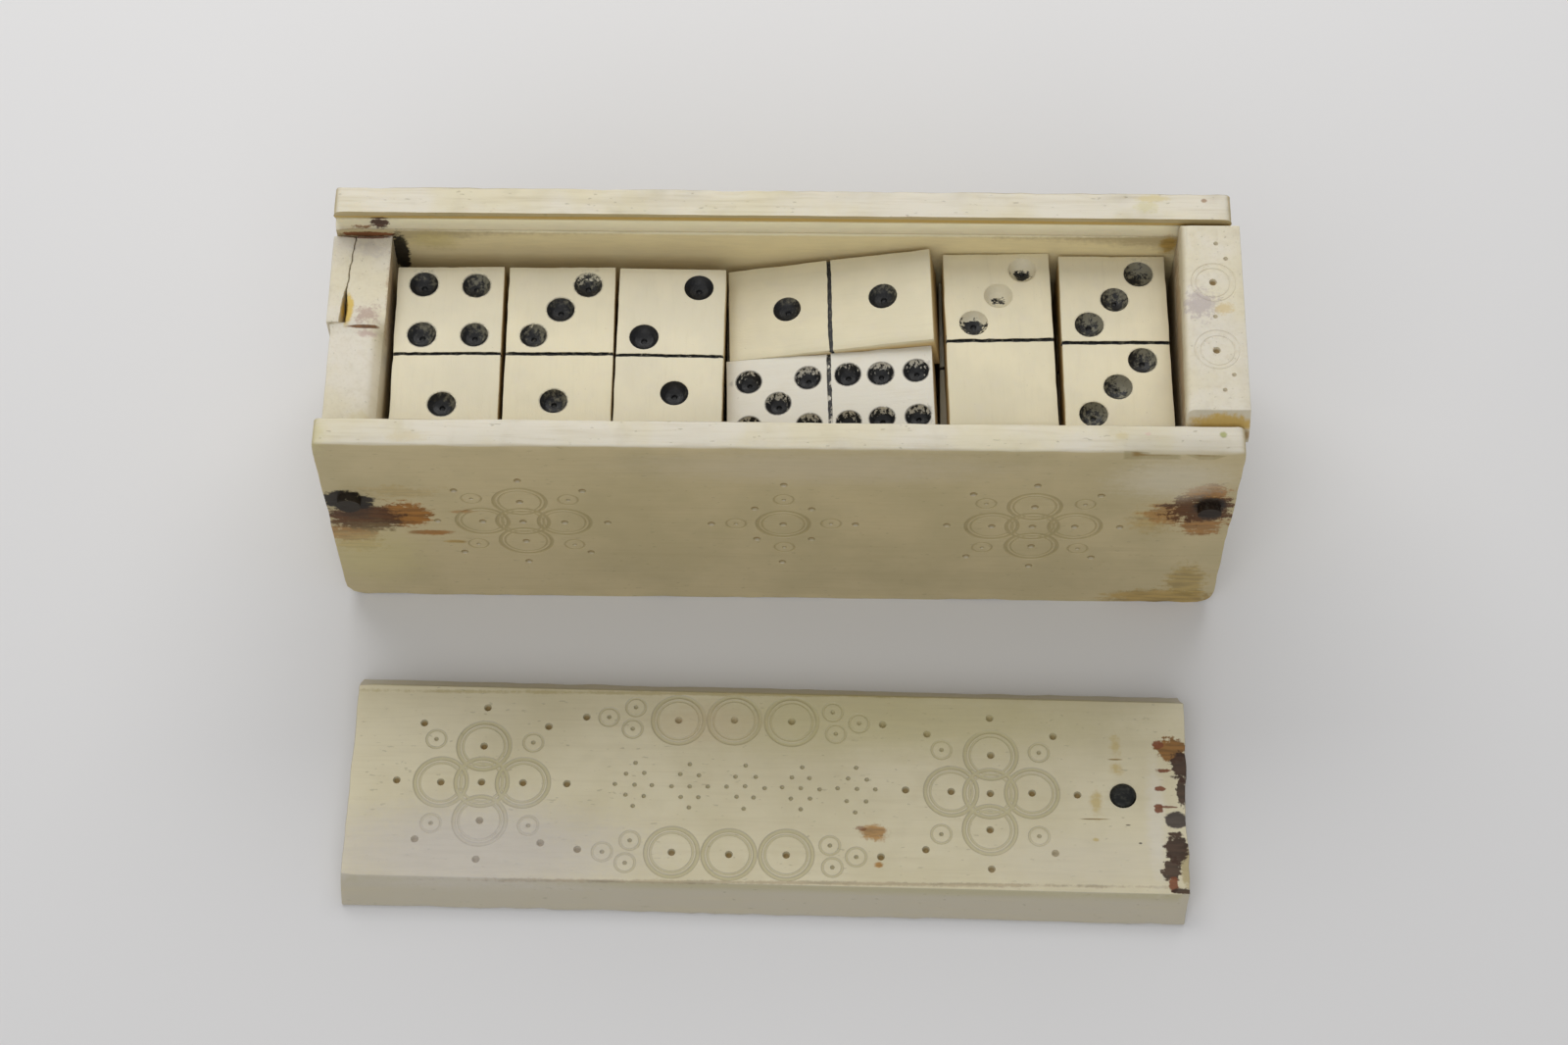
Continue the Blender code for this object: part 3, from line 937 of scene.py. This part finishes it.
# ---- the lid
def make_lid(paint):
    low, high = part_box("lid")
    centre = Vector(((low.x + high.x) / 2, (low.y + high.y) / 2, 0))
    half = Vector((LID_LENGTH / 2, LID_BOTTOM_HALF_WIDTH, 0))
    lid = add_box("lid_worn", -half, half + TOP * high.z)
    select_facing(lid, TOP)
    bpy.ops.transform.translate(value=(0, 0, LID_EDGE_THICKNESS - high.z))
    draw_out(high.z - LID_EDGE_THICKNESS, across=LID_TOP_HALF_WIDTH / LID_BOTTOM_HALF_WIDTH)
    object_mode()
    slice_up(lid, (1.4 * MM, 1.4 * MM, 1.2 * MM))
    round_edges(lid, 0.25 * MM)
    wear(lid, 7, chip=0.35 * MM, ripple=0.025 * MM)
    break_lid_end(lid)
    peg_low, peg_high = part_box("lid_peg")
    along = ((peg_low + peg_high) / 2 - centre).length
    radius = (peg_high.x - peg_low.x) / 2 + 0.12 * MM
    carve(lid, add_cylinder("peg_hole", radius, 20 * MM, (along, 0, 0), PEG_SIDES))
    engraver = Engraver(TOP * high.z, TOP, 13)
    engraver.cross(-32.5, -0.2)
    engraver.cross(25.2, 0)
    engraver.chain(-4.1, 8.25)
    engraver.chain(-4.1, -8.25)
    engraver.lozenges(-2.6, 0, 5)
    engraver.cut(lid)
    lid.matrix_world = Matrix.Translation(centre) @ Matrix.Rotation(LID_TURN, 4, "Z")
    settle(lid)
    finish(lid, paint, "lid", "lid")


def break_lid_end(lid):
    """The lid's right end is broken off unevenly."""
    end = LID_LENGTH / 2

    def broken(place, normal):
        near = nearness(end - place.x, 5 * MM)
        rough = noise.noise(Vector((3, place.y * 190, place.z * 60))) * 0.6
        rough += noise.noise(Vector((9, place.y * 700, place.z * 250))) * 0.4
        corner = max(0.0, (-place.y - 10.5 * MM) / (3.6 * MM))
        place.x -= near * (0.25 * MM + 0.7 * MM * rough + 0.35 * MM * corner)
        place.x = min(place.x, end)
        return place

    move_vertices(lid, broken)


def make_peg(paint):
    low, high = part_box("lid_peg")
    peg = add_cylinder("lid_peg_worn", (high.x - low.x) / 2, high.z - low.z, (low + high) / 2, PEG_SIDES)
    select_facing(peg, TOP)
    bpy.ops.transform.translate(value=(0, 0, -0.35 * MM))
    dome(((0.15, 0.16), (0.25, 0.11), (0.4, 0.08)))
    object_mode()

    def nicked(place, normal):
        return place - normal * abs(noise.noise(place * 1400)) * 0.05 * MM

    move_vertices(peg, nicked)
    finish(peg, paint, "lid", "lid_peg")


def make_nail(node, outward, paint):
    """A nail with a domed, rust-eaten head and a pointed shank."""
    low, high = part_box(node)
    extent = high - low
    length = max(extent)
    radius = sorted(extent)[1] / 2
    nail = add_cylinder(node + "_rusted", radius, 0.4 * MM, (0, 0, -0.2 * MM), 20)
    select_facing(nail, -TOP)
    bpy.ops.mesh.inset(thickness=radius - 0.6 * MM)
    draw_out(1.9 * MM - length)
    draw_out(-1.5 * MM, along=0.15, across=0.15)
    select_facing(nail, TOP)
    bpy.ops.transform.translate(value=(0, 0, -0.15 * MM))
    dome(((0.2, 0.07), (0.3, 0.05), (0.3, 0.03)))
    object_mode()

    def eaten(place, normal):
        return place - normal * abs(noise.noise(place * 1700 + low * 90)) * 0.06 * MM

    move_vertices(nail, eaten)
    middle = (low + high) / 2
    turn = outward.to_track_quat("Z", "Y").to_matrix().to_4x4()
    nail.matrix_world = Matrix.Translation(middle + outward * length / 2) @ turn
    settle(nail)
    finish(nail, paint, "box", node)


# ---- the tiles
# A pip's section below its dish: share of its radius, and depth in millimetres
PIP_BOWL = (
    (0.96, 0.14), (0.80, 0.42), (0.66, 0.74), (0.58, 0.82), (0.22, 1.00), (0.14, 1.22), (0.02, 1.30)
)


def pip_places(value):
    """Pip centres of one half, from the middle of the half: (along, across)."""
    places = []
    if value % 2 == 1:
        places.append((0, 0))
    if value in (2, 3, 4, 5):
        places += [(PIP_ALONG, -PIP_ACROSS), (-PIP_ALONG, PIP_ACROSS)]
    if value in (4, 5):
        places += [(PIP_ALONG, PIP_ACROSS), (-PIP_ALONG, -PIP_ACROSS)]
    if value == 6:
        for along in (-SIX_ALONG, 0, SIX_ALONG):
            places += [(along, -PIP_ACROSS), (along, PIP_ACROSS)]
    return places


def make_pip_cutter():
    """The shape that a spur drill leaves: a steep rim, a shallow cone and a small deep hole.

    Round the rim lies a very shallow dish, where the face is rubbed down.
    """
    deselect()
    bpy.ops.mesh.primitive_circle_add(vertices=24, radius=PIP_RADIUS + PIP_DISH, fill_type="NGON")
    cutter = bpy.context.object
    cutter.name = "pip_cutter"
    cutter.location.z = 0.1 * MM
    settle(cutter)
    edit_mode()
    bpy.ops.mesh.select_all(action="SELECT")
    width = PIP_RADIUS + PIP_DISH
    height = 0.1 * MM
    bowl = [(width, 0.0), (PIP_RADIUS, -PIP_DISH_DEPTH)]
    bowl += [(PIP_RADIUS * share, -depth * MM) for share, depth in PIP_BOWL]
    for radius, level in bowl:
        draw_out(level - height, radius / width, radius / width)
        width = radius
        height = level
    bpy.ops.mesh.select_all(action="SELECT")
    bpy.ops.mesh.normals_make_consistent(inside=False)
    object_mode()
    return cutter


# How much ink each tile's pips hold, how thin and smudged it is, how white the bone is, how
# large the pips are, and how much ink the dividing line holds
TILE_WEAR = {
    "tile_4_1": (0.98, 0.40, 0.75, 0.15, 1.00, 1.00),
    "tile_3_1": (0.92, 0.42, 0.75, 0.05, 0.98, 0.82),
    "tile_2_1": (1.10, 0.20, 0.20, 0.15, 1.02, 0.72),
    "tile_1_1": (1.12, 0.26, 0.10, 0.00, 1.03, 1.00),
    "tile_5_6": (0.70, 0.12, 1.10, 0.85, 0.90, 0.58),
    "tile_3_0": (0.16, 0.30, 0.15, 0.00, 1.00, 0.80),
    "tile_3_3": (1.00, 0.62, 0.40, 0.05, 1.02, 0.92),
}
USUAL_WEAR = (0.95, 0.40, 0.30, 0.20, 1.00, 0.85)

# Single pips that hold another share of ink than the rest of their tile
PALE_PIPS = {("tile_3_0", 2): 0.52, ("tile_3_0", 1): 0.24, ("tile_3_1", 1): 0.72}

# Single pips that were drilled off centre: how far along and across the tile, in mm
PIP_SHIFTS = {
    ("tile_4_1", 4): (-0.9, 0.2),
    ("tile_3_1", 3): (-0.35, 0.4),
    ("tile_2_1", 2): (1.05, -0.8),
    ("tile_1_1", 0): (-0.95, -0.2),
    ("tile_1_1", 1): (-0.35, -0.5),
}


def make_tile(node, pip_cutter, paint, number):
    """A tile with sharp worn edges, drilled pips and a scored line, in its own place and tilt."""
    low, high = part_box(node)
    lies_along = high.x - low.x > high.y - low.y
    tilt = math.radians(TILE_TILTS.get(node, 0))
    chance = random.Random(100 + number)
    ink, thinness, smudge, whiteness, pip_scale, line_ink = TILE_WEAR.get(node, USUAL_WEAR)
    thickness = (high.z - low.z - TILE_LENGTH * math.sin(tilt)) / math.cos(tilt)
    half = Vector((TILE_LENGTH, TILE_WIDTH + 0.10 * MM, thickness)) / 2
    tile = add_box(node + "_bone", -half, half)
    slice_up(tile, (1.0 * MM, 1.0 * MM, 1.5 * MM))
    round_edges(tile, 0.09 * MM, 2)
    wear(tile, 20 + number, chip=0.14 * MM, ripple=0.0, reach=0.5 * MM)
    values = [int(word) for word in node.split("_")[1:]]
    top = thickness / 2
    cutters = []
    pips = []
    for value, side in zip(values, (1, -1)):
        for along, across in pip_places(value):
            off_along, off_across = PIP_SHIFTS.get((node, len(pips)), (0, 0))
            x = side * TILE_LENGTH / 4 + along + (off_along + chance.uniform(-0.14, 0.14)) * MM
            y = across + (off_across + chance.uniform(-0.14, 0.14)) * MM
            left = PALE_PIPS.get((node, len(pips)), ink + chance.uniform(-0.08, 0.08))
            thin = thinness * chance.uniform(0.7, 1.25)
            pips.append((x, y, left, thin))
            place = Matrix.Translation((x, y, top)) @ Matrix.Rotation(chance.uniform(0, 1), 4, "Z")
            size = pip_scale * chance.uniform(0.97, 1.03)
            cutters.append(copy_of(pip_cutter, place @ Matrix.Diagonal((size, size, 1, 1))))
    cutters.append(make_line_cutter(half.y, top, chance))
    cutter = join(cutters)
    settle(cutter)
    carve(tile, cutter, crossing=True)
    reach = (PIP_RADIUS * pip_scale + PIP_DISH) * 1.06

    def pip_record(place):
        """The ink's amount, thinness and smudge here, and where in its pip the place lies."""
        x, y, z = place
        record = (0.0, 0.0, 0.0, 0.0, 0.0)
        if z > top - 1.5 * MM and abs(x) < half.x - 0.3 * MM and abs(y) < half.y - 0.3 * MM:
            for pip_along, pip_across, left, thin in pips:
                offset = (x - pip_along, y - pip_across)
                if math.hypot(*offset) < reach:
                    offset = (-offset[0], -offset[1]) if lies_along else (-offset[1], offset[0])
                    record = (left, thin, smudge, offset[0] / PIP_RADIUS, offset[1] / PIP_RADIUS)
        open_end = abs(y) > half.y - 0.2 * MM
        if abs(x) < 0.52 * MM and z > top - 0.5 * MM and (z < top - 0.12 * MM or not open_end):
            record = (line_ink, 0.35, 0.0, 0.0, 0.0)
        return record

    records = []
    for vertex in tile.data.vertices:
        flat = (vertex.co.x / MM, vertex.co.y / MM, (top - vertex.co.z) / MM)
        records.append((*flat, number * 13.7, whiteness, *pip_record(vertex.co)))
    for name, values in zip(TILE_FIELDS, zip(*records)):
        store(tile, name, values)

    place = Matrix.Translation((low + high) / 2)
    place = place @ Matrix.Rotation(math.radians(TILE_TURNS.get(node, 0)), 4, "Z")
    place = place @ Matrix.Rotation(-tilt, 4, "Y")
    tile.matrix_world = place @ Matrix.Rotation(math.radians(180 if lies_along else 90), 4, "Z")
    settle(tile)
    finish(tile, paint, node, node)


def make_line_cutter(half_width, top, chance):
    """The dividing line: a narrow groove of uneven width, sawn right across."""
    width = chance.uniform(0.60, 0.76) * MM
    low = (-width / 2, -half_width - MM, top - LINE_DEPTH)
    line = add_box("line", low, (width / 2, half_width + MM, top + MM))
    slice_up(line, (1.0 * MM, 0.4 * MM, 5.0 * MM))
    seed = chance.uniform(0, 9)

    def uneven(place, normal):
        edge = 1 if place.x > 0 else -1
        place.x += noise.noise(Vector((seed, place.y * 200, 0))) * 0.10 * MM
        place.x += edge * noise.noise(Vector((seed, place.y * 1300, edge))) * 0.12 * MM
        if place.z < top:
            place.x *= 0.6
        return place

    move_vertices(line, uneven)
    return line


# ---- stains and painted light and shade: centre and radii in millimetres, colour, strength, raggedness, softness
# Iron black round the left nail, and rust that has run down and crept along the grain
LEFT_NAIL_STAINS = (
    ((5.7, 0, 1.8), (5.5, 3, 2.0), RUST_TAN, 0.35, 0.50, 0.7),
    ((0.0, 0, -10.4), (3.8, 3, 2.2), RUST_TAN, 0.75, 0.45, 0.6),
    ((12.4, 0, -2.6), (1.8, 3, 0.55), RUST_ORANGE, 0.55, 0.20, 0.6),
    ((8.5, 0, -7.5), (3.2, 3, 0.75), RUST_ORANGE, 0.85, 0.20, 0.5),
    ((11.2, 0, -9.6), (1.7, 3, 0.5), RUST_TAN, 0.90, 0.20, 0.5),
    ((6.0, 0, -3.4), (3.4, 3, 3.2), RUST_ORANGE, 0.95, 0.30, 0.3),
    ((-0.6, 0, -7.8), (3.8, 3, 2.4), RUST_ORANGE, 0.85, 0.35, 0.4),
    ((1.2, 0, -4.3), (5.2, 3, 3.5), RUST_BROWN, 0.97, 0.26, 0.35),
    ((-0.4, 0, -0.3), (3.4, 3, 2.6), IRON_BLACK, 0.98, 0.22, 0.25),
    ((0.4, 0, -3.0), (2.2, 3, 2.0), IRON_BLACK, 0.40, 0.30, 0.6),
)

# Rust in long streaks round the right nail, tan and fading towards the left
RIGHT_NAIL_STAINS = (
    ((-6.0, 0, -2.6), (3.4, 3, 4.4), RUST_TAN, 0.60, 0.45, 0.7),
    ((-4.4, 0, -1.2), (3.2, 3, 3.4), RUST_ORANGE, 0.60, 0.45, 0.5),
    ((-0.6, 0, 3.2), (3.1, 3, 2.8), RUST_ORANGE, 0.90, 0.45, 0.4),
    ((-0.4, 0, -3.8), (3.1, 3, 2.8), RUST_ORANGE, 0.80, 0.45, 0.4),
    ((-1.0, 0, -0.2), (4.2, 3, 3.4), RUST_BROWN, 0.95, 0.50, 0.3),
    ((0, 0, 0.6), (2.2, 3, 2.2), IRON_BLACK, 0.95, 0.16, 0.4),
)

# Centres count from the front wall's outer face
FRONT_WALL_STAINS = (
    ((43.5, 0, 29.0), (9.0, 3, 6.0), (0.68, 0.62, 0.47), 0.60, 0.15, 0.8),
    ((-47.0, 0, 10.0), (9.0, 3, 9.0), (0.58, 0.50, 0.24), 0.60, 0.15, 0.8),
    ((5.0, 0, 31.0), (30, 3, 5.0), (0.60, 0.52, 0.37), 0.50, 0.15, 0.8),
    ((45.0, 0, 1.0), (8.0, 3, 2.6), (0.47, 0.31, 0.085), 0.80, 0.25, 0.4),
    ((47.4, 0, 5.0), (3.0, 3, 5.0), (0.47, 0.33, 0.10), 0.75, 0.30, 0.5),
    ((48.5, 2.4, 35), (0.5, 0.5, 1), (0.40, 0.42, 0.14), 0.8, 0.20, 0.6),
    ((40.3, 2.4, 35), (0.5, 0.3, 1), (0.72, 0.50, 0.42), 0.5, 0.20, 0.6),
    ((37.4, 2.2, 35), (1.0, 0.6, 1), (0.66, 0.56, 0.30), 0.5, 0.20, 0.7),
    ((-40.5, 1.2, 35), (3.0, 0.9, 1), (0.68, 0.58, 0.34), 0.5, 0.30, 0.8),
    ((-51, 1.5, 34.5), (2.2, 3.0, 3), (0.62, 0.56, 0.28), 0.5, 0.30, 0.8),
)

# A band inside painted lighter and yellower, partly the bone's own tone and partly painted bounce light;
# the lip's underside painted amber as painted shade, over the ledge painted pale as painted light; rust, and
# a black corner
BACK_WALL_STAINS_AND_PAINTED_LIGHT = (
    # Painted light: the inner face is painted lighter, on top of its yellower tone
    ((0, 12.9, 27.0), (60, 0.8, 6.5), (0.86, 0.75, 0.45), 0.95, 0.05, 0.2),
    # Painted shade: the underside of the lip is painted amber, the colour its shade takes
    ((0, 13.9, 33.6), (70, 1.2, 0.9), (0.62, 0.42, 0.12), 0.90, 0.05, 0.2),
    # Painted light: the ledge under the lip is painted pale
    ((0, 13.9, 32.2), (70, 1.3, 0.9), (0.93, 0.88, 0.66), 0.95, 0.05, 0.3),
    ((-46.0, 13.9, 32.5), (1.3, 0.7, 1.0), (0.10, 0.035, 0.026), 0.92, 0.55, 0.3),
    ((-47.9, 13.5, 32.3), (1.8, 0.35, 0.6), (0.32, 0.13, 0.040), 0.85, 0.45, 0.5),
    ((-47.4, 13.1, 31.2), (3.6, 0.5, 0.55), (0.24, 0.085, 0.030), 0.95, 0.30, 0.25),
    ((-43.9, 13.1, 27.6), (1.1, 0.8, 4.6), (0.020, 0.018, 0.016), 0.97, 0.25, 0.3),
    ((-40.0, 13.1, 30.0), (4.0, 0.8, 2.6), (0.62, 0.52, 0.20), 0.50, 0.30, 0.8),
    ((44.2, 13.1, 30.6), (1.4, 0.9, 2.4), (0.52, 0.33, 0.07), 0.85, 0.25, 0.6),
    ((42.0, 16.4, 35), (2.4, 0.6, 1), (0.70, 0.60, 0.32), 0.70, 0.30, 0.6),
    ((41.2, 15.3, 35), (1.8, 1.1, 1), (0.66, 0.60, 0.30), 0.50, 0.35, 0.7),
    ((47.9, 16.2, 35), (0.45, 0.35, 1), (0.42, 0.27, 0.16), 0.85, 0.10, 0.5),
)

# A mauve smudge on its head; amber on its front slope, darker lower down, as painted shade with the glow of
# light through the bone;
# and painted shade, dark brown, on its inner face
RIGHT_BLOCK_STAINS_AND_PAINTED_SHADE = (
    ((46.6, 1.6, 36), (2.6, 2.4, 2), (0.47, 0.40, 0.38), 0.70, 0.45, 0.7),
    ((49.3, 1.0, 36), (1.3, 0.9, 2), (0.66, 0.52, 0.26), 0.70, 0.45, 0.6),
    # Painted shade: the front slope, amber, and darker lower down under the rim
    ((48.6, -12.9, 34.4), (4.5, 1.1, 1.9), (0.60, 0.40, 0.09), 0.90, 0.20, 0.5),
    ((48.6, -13.6, 33.2), (4.5, 1.1, 1.2), (0.40, 0.23, 0.05), 0.85, 0.10, 0.5),
    # Painted shade: the inner face, dark brown
    ((45.0, 0, 30.0), (0.5, 16, 4.0), (0.36, 0.22, 0.10), 0.70, 0.25, 0.5),
)

# Mauve and rust along the step, yellow in the crack, and brown at the back
LEFT_BLOCK_STAINS = (
    ((-46.6, 2.4, 31), (2.0, 1.5, 1.4), (0.46, 0.33, 0.27), 0.75, 0.60, 0.8),
    ((-46.9, 0.9, 30.9), (2.6, 0.26, 0.8), (0.19, 0.080, 0.024), 0.95, 0.10, 0.4),
    ((-46.5, 0.1, 30.6), (1.5, 0.6, 1.2), (0.52, 0.38, 0.32), 0.70, 0.30, 0.6),
    ((-49.0, 3.1, 30.4), (0.9, 2.6, 1.5), (0.68, 0.47, 0.08), 0.90, 0.10, 0.35),
    ((-46.9, 11.2, 31), (2.4, 1.6, 1.0), (0.55, 0.50, 0.44), 0.50, 0.40, 0.8),
    ((-47.3, 12.9, 30.9), (3.4, 0.26, 1.2), (0.19, 0.065, 0.032), 0.90, 0.15, 0.4),
    ((-44.6, 6.0, 29.0), (0.5, 8.0, 3.0), (0.40, 0.25, 0.13), 0.60, 0.25, 0.6),
    ((-46.6, -11.2, 30.6), (2.0, 1.6, 1.0), (0.66, 0.58, 0.34), 0.55, 0.40, 0.8),
)

# Centres count from the lid's middle: the tone's slow changes along the lid
LID_SURFACE_STAINS = (
    ((14, 9.5, 0), (36, 7, 2), (0.60, 0.54, 0.29), 0.60, 0.10, 0.8),
    ((-8, 8.6, 0), (9, 4, 2), (0.64, 0.53, 0.35), 0.45, 0.10, 0.8),
    ((-34, -7.5, 0), (26, 9, 2), (0.62, 0.575, 0.515), 0.80, 0.10, 0.8),
    ((35, -8.0, 0), (16, 5, 2), (0.69, 0.63, 0.48), 0.60, 0.10, 0.8),
    ((0, -10.9, 0), (70, 0.30, 0.6), (0.42, 0.32, 0.20), 0.55, 0.40, 0.7),
    ((0, 12.4, 0), (70, 0.35, 0.6), (0.46, 0.38, 0.17), 0.60, 0.30, 0.7),
)

# Centres count from the lid's right end: the crust that has eaten into it
LID_END_STAINS = (
    ((-4.0, -3, 0), (1.6, 11, 1.5), (0.76, 0.715, 0.61), 0.60, 0.15, 0.8),
    ((0, 0, -2.6), (1.8, 15, 2.7), (0.46, 0.38, 0.20), 0.85, 0.15, 0.4),
    ((-0.7, -8.6, 0), (1.0, 3.2, 4), (0.46, 0.38, 0.20), 0.85, 0.25, 0.4),
    ((-1.9, 6.0, 0), (2.0, 1.6, 4), (0.31, 0.140, 0.028), 0.95, 0.30, 0.2),
    ((-3.4, 6.6, 0), (0.7, 0.6, 4), CRUST_RED, 0.95, 0.30, 0.3),
    ((-0.8, 3.9, 0), (1.5, 2.0, 4), CRUST_BROWN, 0.97, 0.30, 0.2),
    ((-2.9, 3.3, 0), (1.1, 0.35, 1), CRUST_RED, 0.95, 0.30, 0.3),
    ((-0.9, 0.6, 0), (0.8, 1.9, 4), CRUST_BROWN, 0.95, 0.35, 0.2),
    ((-3.4, 1.1, 0), (0.7, 0.38, 1), CRUST_RED, 0.95, 0.30, 0.3),
    ((-3.7, -1.4, 0), (0.6, 0.60, 1), CRUST_RED, 0.95, 0.30, 0.3),
    ((-2.6, -1.2, 0), (1.2, 0.18, 1), CRUST_RED, 0.85, 0.20, 0.3),
    ((-1.8, -2.8, 0), (1.4, 1.2, 2), (0.075, 0.056, 0.050), 0.95, 0.14, 0.2),
    ((-1.8, -6.2, 0), (1.4, 2.0, 4), CRUST_BROWN, 0.97, 0.28, 0.2),
    ((-2.6, -8.8, 0), (1.2, 1.4, 4), CRUST_BROWN, 0.95, 0.40, 0.2),
    ((-2.4, -10.6, 0), (0.6, 1.1, 2), CRUST_RED, 0.95, 0.25, 0.3),
    ((-1.3, -11.4, -0.3), (1.5, 0.45, 2), CRUST_BROWN, 0.95, 0.25, 0.3),
)

# Centres count from the lid's middle: two brown spots
LID_SPOTS_STAINS = (
    ((11.0, -4.6, 0), (2.2, 1.3, 1), (0.48, 0.245, 0.062), 0.85, 0.30, 0.5),
    ((9.6, -4.2, 0), (0.8, 0.4, 1), CRUST_RED, 0.60, 0.30, 0.5),
    ((11.6, -8.6, 0), (0.6, 0.5, 1), (0.50, 0.27, 0.075), 0.95, 0.25, 0.5),
)

# Centres count from the peg: yellow marks and scratches around it
LID_PEG_STAINS = (
    ((-0.6, 6.2, 0), (0.9, 1.8, 1), MARK_YELLOW, 0.55, 0.30, 0.8),
    ((-0.7, 4.5, 0), (1.0, 0.13, 1), (0.34, 0.22, 0.06), 0.90, 0.10, 0.5),
    ((-0.6, 3.4, 0), (1.1, 1.0, 1), MARK_YELLOW, 0.65, 0.30, 0.8),
    ((-3.0, -0.8, 0), (0.9, 2.3, 1), MARK_YELLOW, 0.65, 0.30, 0.8),
    ((-3.3, -2.9, 0), (2.1, 0.12, 1), (0.36, 0.25, 0.09), 0.85, 0.10, 0.5),
    ((-3.2, -5.4, 0), (0.5, 0.3, 1), MARK_YELLOW, 0.70, 0.20, 0.6),
    ((0.5, -3.6, 0), (0.35, 0.1, 1), (0.16, 0.11, 0.06), 0.85, 0.10, 0.5),
    ((1.8, -5.8, 0), (0.25, 0.14, 1), (0.08, 0.07, 0.06), 0.85, 0.10, 0.5),
)


# ---- everything
def stains_from(origin, stains_and_painted_light):
    """The same stains with their centres counted from this origin, in millimetres."""
    return [(Vector(origin) + Vector(centre), *looks) for centre, *looks in stains_and_painted_light]


def wall_stains(side):
    """The stains of one wall's two nails."""
    stains_and_painted_light = []
    for end, around in (("left", LEFT_NAIL_STAINS), ("right", RIGHT_NAIL_STAINS)):
        low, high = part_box(side + "_" + end + "_nail")
        centre = (low + high) / 2
        centre.y = low.y if side == "front" else high.y
        stains_and_painted_light += stains_from(centre / MM, around)
    return stains_and_painted_light


def make_box():
    face = (0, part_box("front_wall")[0].y / MM, 0)
    front_stains = wall_stains("front") + stains_from(face, FRONT_WALL_STAINS)
    back_stains_and_painted_light = wall_stains("back") + list(BACK_WALL_STAINS_AND_PAINTED_LIGHT)
    board = {"colour": (0.57, 0.475, 0.275), "deep": (0.505, 0.425, 0.24), "pale_top": (0.755, 0.705, 0.58)}
    make_front_wall(bone("front_wall_bone", stains_and_painted_light=front_stains, dirt=(0.30, 0.24, 0.10), **board))
    make_back_wall(bone("back_wall_bone", stains_and_painted_light=back_stains_and_painted_light, **board))
    make_floor_board(bone("floor_board_bone", **board))
    block = {"colour": (0.70, 0.635, 0.49), "deep": (0.62, 0.55, 0.38), "pale_top": (0.75, 0.70, 0.585)}
    block["grain_axis"] = 2
    left_paint = bone("left_block_bone", stains_and_painted_light=LEFT_BLOCK_STAINS, **block)
    make_left_block(left_paint)
    make_splinter(left_paint)
    block["dirt"] = (0.58, 0.53, 0.40)
    make_right_block(bone("right_block_bone", stains_and_painted_light=RIGHT_BLOCK_STAINS_AND_PAINTED_SHADE, **block))


def make_lid_pieces():
    low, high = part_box("lid")
    end = high.x / MM
    y = (low.y + high.y) / 2 / MM - 0.7
    top = high.z / MM
    peg = sum(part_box("lid_peg"), Vector()) / 2 / MM
    stains_and_painted_light = stains_from((0, y, top), LID_SURFACE_STAINS)
    stains_and_painted_light += stains_from((end, y, top), LID_END_STAINS)
    stains_and_painted_light += stains_from((0, y, top), LID_SPOTS_STAINS)
    stains_and_painted_light += stains_from((peg.x, peg.y, top), LID_PEG_STAINS)
    looks = {"dirt": (0.44, 0.40, 0.20), "slopes": (0.51, 0.465, 0.365)}
    make_lid(bone("lid_bone", (0.735, 0.67, 0.475), (0.67, 0.605, 0.41), stains_and_painted_light, **looks))
    make_peg(black_peg_paint())


def make_nails():
    iron = rusty_iron()
    for side, outward in (("back", -FRONT), ("floor", -TOP), ("front", FRONT)):
        for node in nail_nodes(side):
            make_nail(node, outward, iron)


def make_tiles():
    paint = inked_bone()
    pip_cutter = make_pip_cutter()
    for number, node in enumerate(sorted(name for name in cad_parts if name.startswith("tile_"))):
        make_tile(node, pip_cutter, paint, number)
    bpy.data.objects.remove(pip_cutter)


make_camera()
make_studio()
make_box()
make_lid_pieces()
make_nails()
make_tiles()
